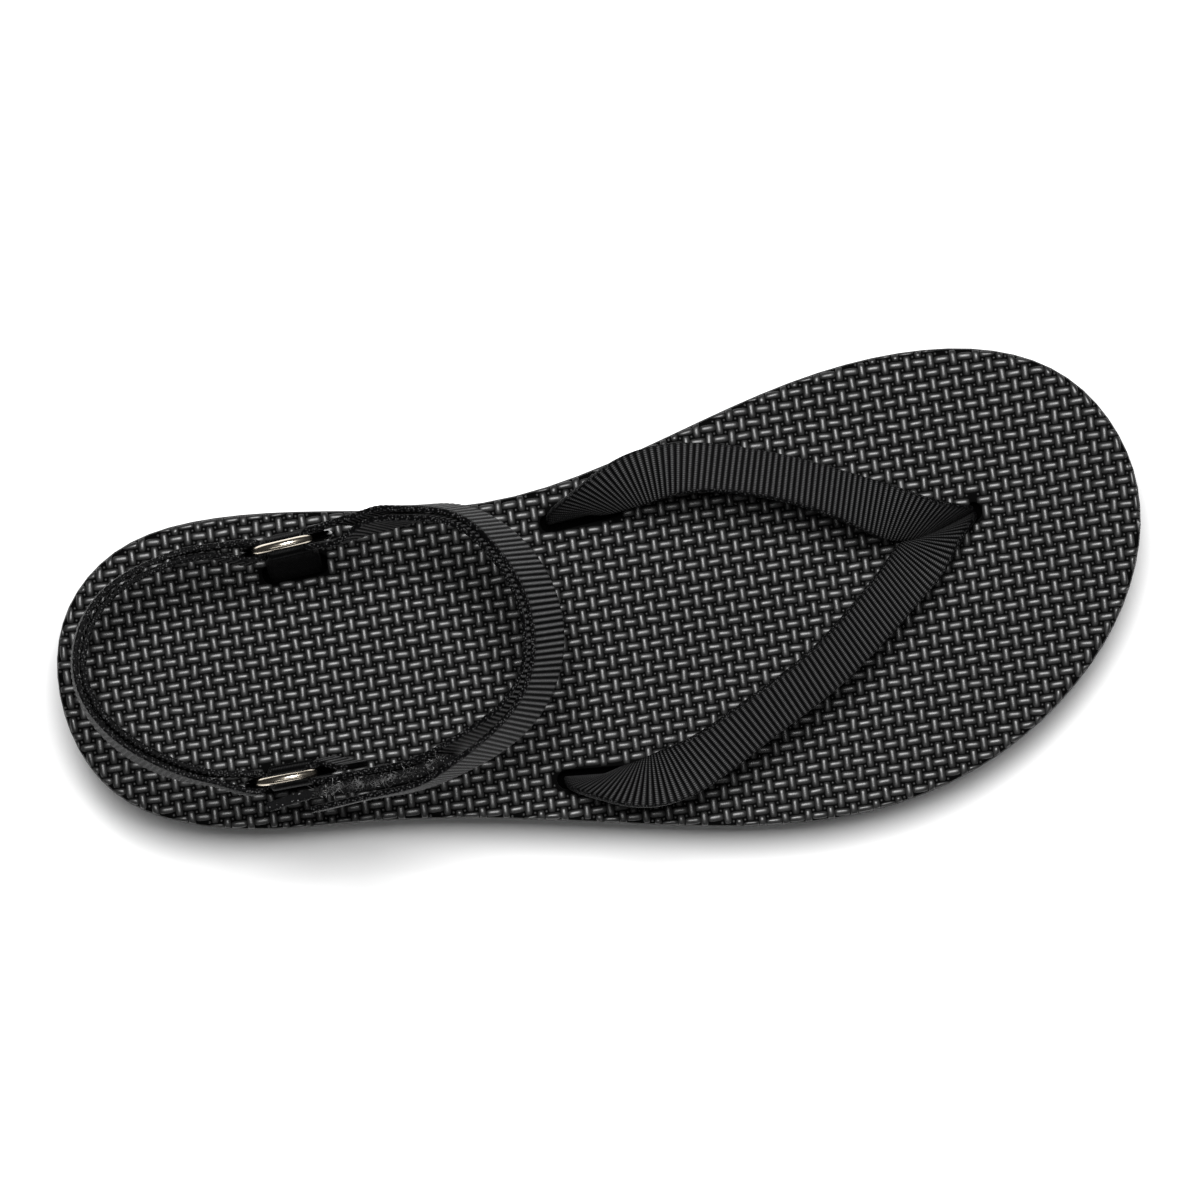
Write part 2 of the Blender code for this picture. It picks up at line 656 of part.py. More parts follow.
def add_closure_tape(rings):
    """The hook-and-loop tape between the two layers on the lateral side, ending in a doubled pull tab."""
    lower, _ = instep_runs(rings)
    steps = [row[5] / 2 for row in INSTEP_STRAP[:TAPE_ROWS]]
    beside, beside_leans, half_gap = lower.beside(2, TAPE_ROWS + 1, steps)
    points = np.concatenate([on_footbed(TAPE_TAIL)[::-1], beside])
    leans = [row[4] for row in TAPE_TAIL[::-1]] + list(beside_leans)
    run = Run(points, leans)
    half = STRAP_WIDTH / 2 - TAPE_SIDE_MARGIN
    grid = run.centre[:, None] + run.wide[:, None] * (half * ACROSS[::2])[None, :, None]
    filled = 2 * half_gap - STRAP_THICKNESS - 2 * SEAT_GAP
    thickness = np.interp(run.places, run.knots, np.concatenate([[TAB_THICKNESS] * len(TAPE_TAIL), filled]))
    ribbon("closure_tape", grid, thickness, "closure_tape")


def add_anchor_strap(ring):
    """A doubled piece of webbing from the footbed slot, looped round the ring's wire."""
    across = ring.spoke(ANCHOR_ANGLE)[1]
    aside = unit(ring.outward - ring.rise * (ring.outward @ ring.rise))
    length = np.linalg.norm(ring.base - ring.slot) + ROOT_DEPTH
    distance = np.linspace(0.0, length, round(length / STATION_STEP) + 1)
    flat_step = (STRAP_THICKNESS + LAYER_GAP) / 2
    step = HUG_RADIUS + (flat_step - HUG_RADIUS) * ease(distance / FLATTEN_RUN)
    ringward = np.tile(ring.up, (len(distance), 1))
    wide = np.tile(across, (len(distance), 1))
    legs = {}
    for side in (1.0, -1.0):
        centre = ring.base - ring.rise * distance[:, None] + aside * (step * side)[:, None]
        legs[side] = cupped(centre, wide, distance, ringward)
    fold = ring.hug(ANCHOR_ANGLE, 1.0, 1.0, ring.tilt(ANCHOR_ANGLE, -ring.rise, 1.0))
    grid = np.concatenate([legs[1.0][::-1], fold[1:-1], legs[-1.0]])
    ribbon(f"anchor_strap_{ring.side}", grid, STRAP_THICKNESS, "webbing")


def add_ring(ring):
    """The wire ring."""
    points = []
    faces = []
    for i in range(RING_SEGMENTS):
        away = ring.spoke(360.0 * i / RING_SEGMENTS)[0]
        for j in range(RING_SIDES):
            turn = 2.0 * math.pi * j / RING_SIDES
            reach = RING_RADIUS + RING_WIRE * math.cos(turn)
            points.append(ring.centre + away * reach + ring.outward * RING_WIRE * math.sin(turn))
            after = (i + 1) % RING_SEGMENTS * RING_SIDES
            beside = (j + 1) % RING_SIDES
            here = i * RING_SIDES
            faces.append((here + j, here + beside, after + beside, after + j))
    solid(f"ring_{ring.side}", points, faces, "ring_metal")


def main():
    """Builds the sandal."""
    clear_scene()
    rings = {side: Ring(side) for side in RINGS}
    add_outsole()
    add_midsole()
    add_footbed(rings)
    add_thong_strap()
    for ring in rings.values():
        add_ring(ring)
        add_anchor_strap(ring)
    add_heel_strap(rings)
    add_instep_strap(rings)
    add_closure_tape(rings)


main()
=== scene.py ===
"""Looks of the black flatform sandal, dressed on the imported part.

Sizes are in millimetres until a mesh is made, in the part's own frame: +X runs to the toe, +Y to the
medial side and +Z up. Heights h are above the footbed. Settings are in metres, as Blender shows them.
"""

import math

import bpy
import numpy as np
from bpy.props import FloatProperty, FloatVectorProperty, IntProperty, PointerProperty
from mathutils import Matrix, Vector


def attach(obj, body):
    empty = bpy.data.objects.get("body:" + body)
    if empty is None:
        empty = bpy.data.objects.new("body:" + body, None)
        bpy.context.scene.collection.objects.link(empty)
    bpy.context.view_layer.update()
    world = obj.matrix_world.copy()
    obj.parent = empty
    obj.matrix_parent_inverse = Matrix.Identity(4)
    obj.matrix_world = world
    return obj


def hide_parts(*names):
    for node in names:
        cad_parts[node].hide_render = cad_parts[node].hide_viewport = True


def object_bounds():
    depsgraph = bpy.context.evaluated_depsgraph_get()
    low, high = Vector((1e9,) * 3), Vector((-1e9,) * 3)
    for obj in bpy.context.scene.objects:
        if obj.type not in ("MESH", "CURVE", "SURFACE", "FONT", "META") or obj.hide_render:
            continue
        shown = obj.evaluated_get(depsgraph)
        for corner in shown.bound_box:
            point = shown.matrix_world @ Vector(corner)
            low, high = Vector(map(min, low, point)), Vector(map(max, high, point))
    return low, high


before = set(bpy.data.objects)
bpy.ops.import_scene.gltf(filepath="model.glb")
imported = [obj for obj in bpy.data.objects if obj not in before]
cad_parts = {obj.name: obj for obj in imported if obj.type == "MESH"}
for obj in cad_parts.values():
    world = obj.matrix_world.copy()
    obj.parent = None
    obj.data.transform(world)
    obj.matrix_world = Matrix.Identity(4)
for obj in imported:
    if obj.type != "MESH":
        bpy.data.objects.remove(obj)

bl_info = {
    "name": "Flatform sandal",
    "version": (1, 0, 0),
    "blender": (4, 5, 0),
    "location": "View3D > Sidebar > Sandal",
    "description": "Dresses a flatform sandal with a woven footbed, ribbed webbing and wire rings",
    "category": "Object",
}

CAD_LOW, CAD_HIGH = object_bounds()
MM = 0.001
UP = np.array([0.0, 0.0, 1.0])
BODY = "root"

# Sole
SOLE_LENGTH = (CAD_HIGH[0] - CAD_LOW[0]) / MM
OUTLINE_SAMPLES = 4000
OUTLINE_STATIONS = 52
FOOTBED_THICKNESS = 5.0

# Webbing, with the step of the runs that its second layer and the tape are laid beside
STRAP_WIDTH = 12.7
STRAP_THICKNESS = 1.6
LAYER_GAP = 0.3
ROOT_GAP = 0.5
ROOT_DEPTH = FOOTBED_THICKNESS - ROOT_GAP
SLOT_WIDTH = 4.8
ANCHOR_SLOT_LENGTH = 16.4
ANCHOR_SLOT_WIDTH = 5.4
STATION_STEP = 5.0

# Places across a band from edge to edge, and the share of its thickness at each
ACROSS = np.array([-1.0, -0.985, -0.93, -0.8, -0.5, 0.0, 0.5, 0.8, 0.93, 0.985, 1.0])
EDGE_SHARE = np.array([0.45, 0.78, 0.96, 1.0, 1.0, 1.0, 1.0, 1.0, 0.96, 0.78, 0.45])
EDGE_POWER = 16

# Ribs of the webbing, and how bright the highlights painted into their colour are on each kind of strap:
# brighter on the instep's lit copy, darker on the anchors' copy as painted shade, and the edges' own painted
# highlight
ROWS_PER_RIB = 4
RIB_SHARPNESS = 1.6
RIB_LINE = 4.0
PLAIN_LIFT = 0.9
LIT_LIFT = 1.7
SHADED_LIFT = 0.3
EDGE_LIFT = 0.8

# Rings
RING_RADIUS = 10.0
RING_WIRE = 1.0
RING_SEGMENTS = 96
RING_SIDES = 20
SEAT_GAP = 0.3
HUG_RADIUS = RING_WIRE + SEAT_GAP + STRAP_THICKNESS / 2
HUG_STEPS = 22
HUG_HALF_WIDTH = 5.2
FLATTEN_RUN = 13.0
CLOSE_RUN = 10.0
LEAD_RUN = 4.55
INSTEP_ANGLE = 22.0
HEEL_ANGLE = 168.0
ANCHOR_ANGLE = 270.0
HUG_ANGLES = (INSTEP_ANGLE, HEEL_ANGLE, ANCHOR_ANGLE)
# Run along the wire over which the painted shade under the webbing fades out
SHADE_FADE_RUN = 6.0

# Fastening
SHORT_END = 8.0
TAB_THICKNESS = 2.2
TAPE_SIDE_MARGIN = 0.5
TAPE_ROWS = 3
TAPE_STEP = 0.4

# Loose fibres on the tape's upper edge, ahead of its pull tab, with shares of their mean length
FIBRE_START_X = -70.0
FIBRE_SEED = 5
FIBRE_RADIUS = 0.045
FIBRE_SIDES = 3
FIBRE_KNOTS = np.linspace(0.0, 1.0, 5)
FIBRE_LENGTHS = (0.5, 1.4)
FIBRE_BENDS = (0.3, 1.3)
FIBRE_LEAN = 0.9
FIBRE_SCATTER = 0.25

# A cell of the weave that fits the photograph, and how far past the ends of the foot cells are laid out
WEAVE_START = (27.2, -10.7)
SPARE_CELLS = 16
WEAVE_SINK = 0.06

# The weave's margins at the slots and the rim. A bar whose middle lies a little past the rim is trimmed too,
# and only bars and dots near the rim are looked at for it
SLOT_MARGIN = 0.2
RIM_MARGIN = 0.25
RIM_REACH = -0.3
RIM_NEAR = 4.0

# The footbed's rounded rim: distances in from the outline, and how far it lies below the top there
RIM_ROUND = ((0.0, 0.32, 1.1), (1.1, 0.32, 0.0))

# Bars of the weave: places along and across one, its arch and taper, and how much bars differ
BAR_PLACES = np.array([-1.0, -0.9, -0.7, -0.38, 0.0, 0.38, 0.7, 0.9, 1.0])
BAR_ROUND = np.sin(np.radians(np.linspace(-90.0, 90.0, 7)))
BAR_CUTS = np.linspace(0.25, 1.0, 6)
BAR_END_POWER = 5
BAR_SIDE_POWER = 2.5
BAR_TAPER = 0.35
BAR_TAPER_POWER = 4
BAR_HEIGHTS = (0.88, 1.08)
BAR_SWING = 1.6
SHORTEST_BAR = 1.0
ALONG_SEED = 1
ACROSS_SEED = 2

# Dots of the weave: sides, width and height at the shoulder, and height for a radius of one
DOT_SIDES = 8
DOT_SHOULDER = 0.66
DOT_SHOULDER_LIFT = 0.75
DOT_HEIGHT = 0.8

# Cells to a metre of the noise in each surface
FOAM_GRAIN = 2200.0
RUBBER_GRAIN = 1500.0
RUBBER_PATCH = 250.0
RAISED_GRAIN = 2600.0
RAISED_WEAR = 420.0
YARN_STRAND = 5200.0
EDGE_PATCH = 1400.0
PILE_MAT = 1700.0
PILE_HOOKS = 1100.0
PILE_PATCH = 500.0
FIBRE_PATCH = 300.0
PLATING_WEAR = 900.0
PAPER_TOOTH = 900.0

# Depth of the fine relief in each surface
FOAM_DEPTH = 0.05
RUBBER_DEPTH = 0.04
RAISED_DEPTH = 0.02
YARN_DEPTH = 0.06
PILE_DEPTH = 0.35
PLATING_DEPTH = 0.01
PAPER_DEPTH = 0.02

# Camera, turned from the foot's length, with the direction to the picture's top
PICTURE_TURN = 10.5
PICTURE_UP = np.array([math.sin(math.radians(PICTURE_TURN)), math.cos(math.radians(PICTURE_TURN))])
CAMERA_PLACE = (-0.27, 8.23, 1590.0)
SENSOR_WIDTH = 36.0
CLIP_START = 0.01

# Floor in millimetres, and lights: width and depth in metres, tilt to the picture's top, distance in metres
FLOOR_REACH = 4000.0
KEY_LIGHT = (0.38, 0.38, 9.5, 1.3)
STRIP_LIGHT = (1.2, 0.25, -40.0, 1.2)

# Outline of the footbed, from the back of the heel along the lateral side: place, x, y
OUTLINE = (
    ("heel_tip", -130.0, 9.0),
    ("heel_lateral_rear", -121.0, -16.3),
    ("heel_lateral", -103.0, -27.1),
    ("waist_lateral", -60.0, -33.9),
    ("mid_lateral", 0.0, -46.0),
    ("ball_lateral", 48.0, -53.1),
    ("ball_lateral_front", 80.0, -47.8),
    ("toe_lateral", 106.0, -33.1),
    ("toe_lateral_front", 124.0, -11.5),
    ("toe_tip", 130.0, 13.3),
    ("toe_medial", 118.0, 40.4),
    ("toe_medial_side", 76.0, 53.1),
    ("ball_medial", 40.0, 48.0),
    ("waist_medial", -20.0, 36.0),
    ("heel_medial_side", -88.0, 44.0),
    ("heel_medial", -112.0, 39.9),
    ("heel_medial_rear", -125.0, 28.2),
)

# Side view of the footbed: x, height of its top
PROFILE = (
    (-130.0, 45.0),
    (-118.0, 44.4),
    (-90.0, 43.8),
    (-60.0, 42.6),
    (-25.0, 40.6),
    (10.0, 38.2),
    (45.0, 36.4),
    (75.0, 36.2),
    (105.0, 37.8),
    (130.0, 41.0),
)

# Slots that the thong comes out of: place, x and y of the middle, heading, length
THONG_SLOTS = (
    ("medial", -1.0, 28.9, 3.0, 20.2),
    ("lateral", -8.1, -33.1, -6.0, 20.2),
    ("toe", 85.3, 10.9, 18.0, 16.4),
)

# Arms of the thong: place, x, y, h, then heading and rise of the line across to the outer edge
MEDIAL_ARM = (
    ("slot_floor", -3.2, 29.0, -ROOT_DEPTH, 183.0, 0.0),
    ("slot_mouth", -3.2, 29.2, 0.0, 183.0, 2.0),
    ("root", -2.0, 29.8, 7.0, 168.0, 24.0),
    ("rise", 2.6, 31.2, 14.5, 134.0, 44.0),
    ("shoulder", 10.4, 33.8, 22.0, 92.0, 30.0),
    ("upper", 22.8, 35.0, 28.5, 69.0, -14.0),
    ("middle", 41.7, 30.4, 31.0, 64.0, -34.0),
    ("fore", 54.8, 24.6, 29.0, 61.0, -33.0),
    ("toe_top", 68.3, 17.0, 22.5, 52.0, -14.0),
    ("roll", 77.0, 13.2, 14.5, 40.0, 22.0),
    ("post", 83.2, 11.9, 6.5, 25.0, 24.0),
    ("toe_mouth", 85.0, 11.6, 0.0, 18.0, 6.0),
    ("toe_floor", 85.1, 11.6, -ROOT_DEPTH, 18.0, 0.0),
)
LATERAL_ARM = (
    ("slot_floor", -10.2, -32.9, -ROOT_DEPTH, -186.0, 0.0),
    ("slot_mouth", -10.2, -33.1, 0.0, -186.0, 2.0),
    ("root", -9.0, -33.4, 7.0, -170.0, 24.0),
    ("rise", -4.6, -34.4, 14.5, -136.0, 44.0),
    ("shoulder", 2.6, -35.6, 21.5, -95.0, 30.0),
    ("upper", 14.0, -33.6, 28.5, -65.0, -12.0),
    ("middle", 31.2, -25.7, 32.5, -57.0, -32.0),
    ("fore", 46.8, -17.8, 32.0, -55.0, -33.0),
    ("toe_side", 62.4, -6.9, 26.5, -48.0, -28.0),
    ("toe_top", 73.6, 2.2, 18.0, -38.0, -12.0),
    ("roll", 80.2, 7.2, 10.5, -8.0, 24.0),
    ("post", 84.2, 9.5, 4.5, 10.0, 24.0),
    ("toe_mouth", 85.4, 10.2, 0.0, 17.0, 6.0),
    ("toe_floor", 85.5, 10.2, -ROOT_DEPTH, 18.0, 0.0),
)

# Rings: centre x, y, h, heading and outward lean, with the footbed slot of the anchor under each, x, y
RINGS = {
    "medial": {"centre": (-69.2, 34.1, 36.0), "heading": 2.5, "lean": 0.0, "slot": (-69.8, 29.1)},
    "lateral": {"centre": (-77.9, -18.8, 36.0), "heading": 0.0, "lean": 0.0, "slot": (-78.6, -19.6)},
}

# Instep strap from the lateral to the medial ring: place, x, y, h, inward lean, step out to the upper layer
INSTEP_STRAP = (
    ("lateral_side", -60.0, -20.9, 44.3, 2.0, 5.6),
    ("lateral_middle", -48.0, -20.6, 49.9, 6.0, 5.4),
    ("lateral_front", -36.5, -18.0, 55.1, 17.0, 4.4),
    ("lateral_corner", -25.2, -13.2, 60.0, 25.0, 3.0),
    ("front_lateral", -18.0, -5.7, 63.2, 29.0, 2.1),
    ("front", -15.0, 4.6, 64.7, 32.0, 2.1),
    ("front_medial", -15.6, 12.9, 64.0, 31.0, 2.1),
    ("medial_corner", -19.8, 23.0, 60.4, 26.0, 2.1),
    ("medial_front", -28.0, 31.6, 55.3, 12.0, 2.1),
    ("medial_side", -40.0, 34.7, 49.1, -3.0, 2.1),
    ("medial_ring_side", -51.0, 33.9, 43.7, -10.0, 2.5),
)

# Free end of the upper layer, past the table above: place, x, y, h, inward lean
INSTEP_TAIL = (("free_end", -72.0, -27.2, 39.0, 3.0),)

# Hook-and-loop tape past the two layers, with its pull tab: place, x, y, h, inward lean
TAPE_TAIL = (
    ("tape_end", -71.0, -23.4, 40.2, 2.0),
    ("tab_end", -83.2, -24.8, 37.4, 2.0),
)

# Heel strap from the medial to the lateral ring: place, x, y, h, inward lean
HEEL_STRAP = (
    ("medial_side", -88.5, 35.7, 39.2, -1.0),
    ("medial_rear", -101.0, 34.4, 40.4, 2.0),
    ("rear_medial_corner", -112.3, 29.6, 41.0, 4.0),
    ("rear_medial", -118.8, 21.9, 41.6, 6.0),
    ("rear", -121.2, 12.4, 41.5, 7.0),
    ("rear_lateral", -118.7, 2.6, 41.0, 9.0),
    ("lateral_rear", -110.9, -7.2, 40.1, 11.0),
    ("lateral_side", -100.6, -13.9, 38.9, 8.0),
)


def length_setting(name, description, millimetres):
    """A setting for a length, with its default in millimetres."""
    return FloatProperty(
        name=name, description=description, default=millimetres * MM, min=0.0, precision=5, subtype="DISTANCE"
    )


def colour_setting(name, description, colour):
    """A setting for a colour."""
    return FloatVectorProperty(
        name=name, description=description, default=colour, size=4, min=0.0, max=1.0, subtype="COLOR"
    )


def share_setting(name, description, share):
    """A setting between 0 and 1."""
    return FloatProperty(
        name=name, description=description, default=share, min=0.0, max=1.0, subtype="FACTOR"
    )


def power_setting(name, description, watts):
    """A setting for a light's power."""
    return FloatProperty(name=name, description=description, default=watts, min=0.0, unit="POWER")


class SandalSoleSettings(bpy.types.PropertyGroup):
    """Colours of the platform and its tread."""

    foam: colour_setting("Foam", "Colour of the platform's foam", (0.010, 0.010, 0.0105, 1.0))
    # painted shade: near-black colour the foam takes where it faces up, so the slot floors read as dark as
    # shade
    slot_shade: colour_setting("Hidden foam", "Colour of the foam in the slots", (0.0006, 0.0006, 0.0006, 1.0))
    rubber: colour_setting("Rubber", "Colour of the tread's rubber", (0.012, 0.012, 0.012, 1.0))


class SandalFootbedSettings(bpy.types.PropertyGroup):
    """Sizes and colours of the weave moulded into the footbed."""

    pitch_along: length_setting("Pitch along", "Distance between cells along the foot", 2.73)
    pitch_across: length_setting("Pitch across", "Distance between cells across the foot", 2.87)
    bar_length: length_setting("Bar length", "Length of one moulded bar", 3.7)
    bar_width: length_setting("Bar width", "Width of one moulded bar", 1.75)
    bar_height: length_setting("Bar height", "Height of one moulded bar", 0.5)
    dot_width: length_setting("Dot width", "Width of the dot at each corner of a cell", 0.7)
    turn: FloatProperty(
        name="Turn",
        description="Turn of the weave from the foot's length",
        default=math.radians(-2.5),
        subtype="ANGLE",
    )
    raised: colour_setting("Raised foam", "Colour of the bars and dots", (0.011, 0.011, 0.011, 1.0))
    # painted shade: the ground between the bars faces up and takes this darker colour as shade in the
    # recesses of the weave
    sunken_shade: colour_setting("Sunken foam", "Colour of the ground between the bars", (0.002, 0.002, 0.002, 1.0))


class SandalWebbingSettings(bpy.types.PropertyGroup):
    """Sizes and colours of the ribbed webbing."""

    rib_pitch: length_setting("Rib pitch", "Distance between the ribs across the webbing", 1.4)
    rib_height: length_setting("Rib height", "Height of a rib", 0.28)
    yarn_pitch: length_setting("Yarn pitch", "Distance between the yarns along the webbing", 0.48)
    bead_pitch: length_setting("Bead pitch", "Distance between the beads in the webbing's edges", 0.55)
    yarn: colour_setting("Yarn", "Colour of the webbing in its grooves", (0.001, 0.001, 0.0011, 1.0))
    # painted highlight: colour of the rib crests and edge beads where they would catch the light
    light: colour_setting("Light yarn", "Colour of the yarns that catch the light", (0.17, 0.17, 0.172, 1.0))


class SandalTapeSettings(bpy.types.PropertyGroup):
    """Sizes and colours of the hook-and-loop tape."""

    fibres: IntProperty(name="Fibres", description="Number of loose fibres", default=520, min=0, max=4000)
    fibre_length: length_setting("Fibre length", "Mean length of a loose fibre", 1.7)
    pile: colour_setting("Pile", "Colour of the pile", (0.003, 0.003, 0.0032, 1.0))
    # also the colour of the highlights painted on the pile's hooks
    fibre: colour_setting("Fibre", "Colour of the loose fibres", (0.20, 0.20, 0.20, 1.0))


class SandalRingSettings(bpy.types.PropertyGroup):
    """Colour and polish of the rings."""

    metal: colour_setting("Metal", "Colour of the rings' plating", (0.80, 0.72, 0.60, 1.0))
    roughness: share_setting("Roughness", "Roughness of the plating", 0.16)


class SandalStageSettings(bpy.types.PropertyGroup):
    """Floor, lights and lens."""

    floor: colour_setting("Floor", "Colour of the floor", (0.92, 0.92, 0.92, 1.0))
    key_power: power_setting("Key", "Power of the soft light overhead", 27.0)
    strip_power: power_setting("Strip", "Power of the low strip light", 1.2)
    fill: share_setting("Fill", "Strength of the light from all around", 0.03)
    lens: FloatProperty(name="Lens", description="Focal length", default=196.1, min=1.0, unit="CAMERA")


def unit(vectors):
    """Vectors scaled to length one along their last axis."""
    vectors = np.asarray(vectors, float)
    return vectors / np.linalg.norm(vectors, axis=-1, keepdims=True)


def ease(value):
    """A smooth step from 0 to 1 for values from 0 to 1."""
    value = np.clip(value, 0.0, 1.0)
    return value * value * (3.0 - 2.0 * value)


def spline(knots, values, at, closed=False):
    """Cubic curve through the values at the knots, natural or closed, read at other places."""
    knots = np.asarray(knots, float)
    values = np.asarray(values, float)
    count = len(knots)
    gaps = np.diff(knots)
    slopes = np.diff(values, axis=0) / gaps[:, None]
    matrix = np.zeros((count, count))
    right = np.zeros_like(values)
    for i in range(1, count - 1):
        matrix[i, i - 1 : i + 2] = gaps[i - 1], 2.0 * (gaps[i - 1] + gaps[i]), gaps[i]
        right[i] = 6.0 * (slopes[i] - slopes[i - 1])
    matrix[0, 0] = 1.0
    matrix[-1, -1] = 1.0
    if closed:
        matrix[0, -1] = -1.0
        matrix[-1, [0, 1, -2, -1]] = gaps[0] * 2.0, gaps[0], gaps[-1], gaps[-1] * 2.0
        right[-1] = 6.0 * (slopes[0] - slopes[-1])
    bends = np.linalg.solve(matrix, right)
    at = np.asarray(at, float)
    i = np.clip(np.searchsorted(knots, at) - 1, 0, count - 2)
    after = ((at - knots[i]) / gaps[i])[:, None]
    before = 1.0 - after
    square = (gaps[i] ** 2)[:, None] / 6.0
    lift = (before**3 - before) * bends[i] + (after**3 - after) * bends[i + 1]
    return before * values[i] + after * values[i + 1] + lift * square


def chord_knots(points):
    """Distances along the chords of a row of points."""
    steps = np.linalg.norm(np.diff(points, axis=0), axis=1)
    return np.concatenate([[0.0], np.cumsum(steps)])


def stations(points, step):
    """Knots along a row of points and evenly spaced places to read them at."""
    knots = chord_knots(points)
    return knots, np.linspace(0.0, knots[-1], max(3, round(knots[-1] / step) + 1))


def footbed_top(x):
    """Height of the footbed's top at x."""
    table = np.array(PROFILE)
    return spline(table[:, 0], table[:, 1:], np.atleast_1d(x))[:, 0]


def outline_loop():
    """The footbed's outline, counter-clockwise from the heel tip."""
    points = np.array([row[1:] for row in OUTLINE + OUTLINE[:1]])
    knots = chord_knots(points)
    dense = spline(knots, points, np.linspace(0.0, knots[-1], OUTLINE_SAMPLES + 1), closed=True)[:-1]
    dense[:, 0] -= (dense[:, 0].max() + dense[:, 0].min()) / 2
    dense[:, 1] -= (dense[:, 1].max() + dense[:, 1].min()) / 2
    dense[:, 0] *= SOLE_LENGTH / np.ptp(dense[:, 0])
    dense = np.roll(dense, -int(np.argmin(dense[:, 0])), axis=0)
    toe = int(np.argmax(dense[:, 0]))
    lateral = dense[: toe + 1]
    medial = np.concatenate([dense[toe:], dense[:1]])[::-1]
    turn = np.linspace(0.0, math.pi, OUTLINE_STATIONS + 1)
    x = -SOLE_LENGTH / 2 * np.cos(turn)
    lateral_y = np.interp(x, lateral[:, 0], lateral[:, 1])
    medial_y = np.interp(x, medial[:, 0], medial[:, 1])
    return np.concatenate([np.stack([x, lateral_y], 1), np.stack([x, medial_y], 1)[-2:0:-1]])


class Ring:
    """A wire ring over its anchor's slot, with its own forward, upward and outward directions."""

    def __init__(self, side):
        row = RINGS[side]
        x, y, h = row["centre"]
        slot_x, slot_y = row["slot"]
        self.side = side
        self.centre = np.array([x, y, footbed_top(x)[0] + h])
        self.slot = np.array([slot_x, slot_y, footbed_top(slot_x)[0]])
        self.heading = row["heading"]
        self.lean = -row["lean"]
        heading = math.radians(self.heading)
        lean = math.radians(row["lean"])
        self.forward = np.array([math.cos(heading), math.sin(heading), 0.0])
        level = np.cross(UP, self.forward) * math.copysign(1.0, y)
        self.up = UP * math.cos(lean) + level * math.sin(lean)
        self.outward = level * math.cos(lean) - UP * math.sin(lean)
        self.base = self.centre - self.up * RING_RADIUS
        self.rise = unit(self.base - self.slot)

    def spoke(self, angle):
        """The direction from the centre at an angle, and the direction a quarter turn on."""
        turn = math.radians(angle)
        away = self.forward * math.cos(turn) + self.up * math.sin(turn)
        across = self.up * math.cos(turn) - self.forward * math.sin(turn)
        return away, across

    def exit(self, angle, side):
        """Where webbing leaves the wire, outside the ring's plane for side 1 and inside it for -1."""
        return self.centre + self.spoke(angle)[0] * RING_RADIUS + self.outward * HUG_RADIUS * side

    def tilt(self, angle, heading, first_side):
        """How far webbing that leaves the wire along a heading is turned out of the ring's plane."""
        return math.atan2(heading @ self.outward * first_side, heading @ self.spoke(angle)[0])

    def hug(self, angle, flip, first_side, tilt=0.0):
        """Rows of webbing folded round the wire through the ring, from one side of it to the other."""
        away, across = self.spoke(angle)
        reach = HUG_HALF_WIDTH * ACROSS * flip
        rows = []
        for turn in np.linspace(math.pi / 2, 3 * math.pi / 2, HUG_STEPS) + tilt:
            radial = np.sqrt((RING_RADIUS + HUG_RADIUS * math.cos(turn)) ** 2 - reach**2)
            out = HUG_RADIUS * math.sin(turn) * first_side
            rows.append(self.centre + away * radial[:, None] + across * reach[:, None] + self.outward * out)
        return np.array(rows)


def cupped(centre, wide, reach_from_ring, ringward):
    """Rows across a band that is cupped and narrow at a ring and flattens away from it."""
    loose = ease(reach_from_ring / FLATTEN_RUN)
    half = HUG_HALF_WIDTH + (STRAP_WIDTH / 2 - HUG_HALF_WIDTH) * loose
    reach = half[:, None] * ACROSS[None, :]
    dip = (RING_RADIUS - np.sqrt(RING_RADIUS**2 - reach**2)) * (1.0 - loose)[:, None]
    return centre[:, None] + wide[:, None] * reach[..., None] + ringward[:, None] * dip[..., None]


class Run:
    """A strap's middle line with its tangent, its upward width direction and its outward direction."""

    def __init__(self, points, leans, step):
        self.points = np.asarray(points, float)
        self.knots, self.places = stations(self.points, step)
        self.centre = spline(self.knots, self.points, self.places)
        self.tangent = unit(np.gradient(self.centre, axis=0))
        self.leans = spline(self.knots, np.reshape(leans, (-1, 1)), self.places)[:, 0]
        lean = np.radians(self.leans)[:, None]
        inward = unit(np.cross(UP, self.tangent))
        rise = unit(UP - self.tangent * self.tangent[:, 2:])
        self.wide = rise * np.cos(lean) + inward * np.sin(lean)
        self.outward = np.cross(self.tangent, self.wide)

    def beside(self, first, last, steps):
        """Points, leans and steps at a changing step outward, from one knot to another."""
        chosen = (self.places >= self.knots[first]) & (self.places <= self.knots[last])
        step = np.interp(self.places[chosen], self.knots[first : last + 1], steps)
        return self.centre[chosen] + self.outward[chosen] * step[:, None], self.leans[chosen], step


def on_footbed(rows):
    """Points of a table whose heights are above the footbed."""
    table = np.array([row[1:4] for row in rows])
    return np.column_stack([table[:, :2], footbed_top(table[:, 0]) + table[:, 2]])


def ring_distance(run):
    """How far each station is from the nearer end of the run, and which way that ring lies."""
    from_start = run.places
    from_end = run.places[-1] - run.places
    toward = np.where(from_start < from_end, -1.0, 1.0)
    return np.minimum(from_start, from_end), toward


def thong_arm(rows, step):
    """Rows of points across one arm of the thong, from its slot to the toe slot."""
    table = np.array([row[1:] for row in rows])
    middle = on_footbed(rows)
    heading, rise = np.radians(table[:, 3:].T)
    outer = np.column_stack([np.cos(rise) * np.cos(heading), np.cos(rise) * np.sin(heading), np.sin(rise)])
    knots, places = stations(middle, step)
    centre = spline(knots, middle, places)
    tangent = unit(np.gradient(centre, axis=0))
    outer = spline(knots, outer, places)
    outer = unit(outer - tangent * np.sum(outer * tangent, axis=1, keepdims=True))
    return centre[:, None] + outer[:, None] * (STRAP_WIDTH / 2 * ACROSS)[None, :, None]


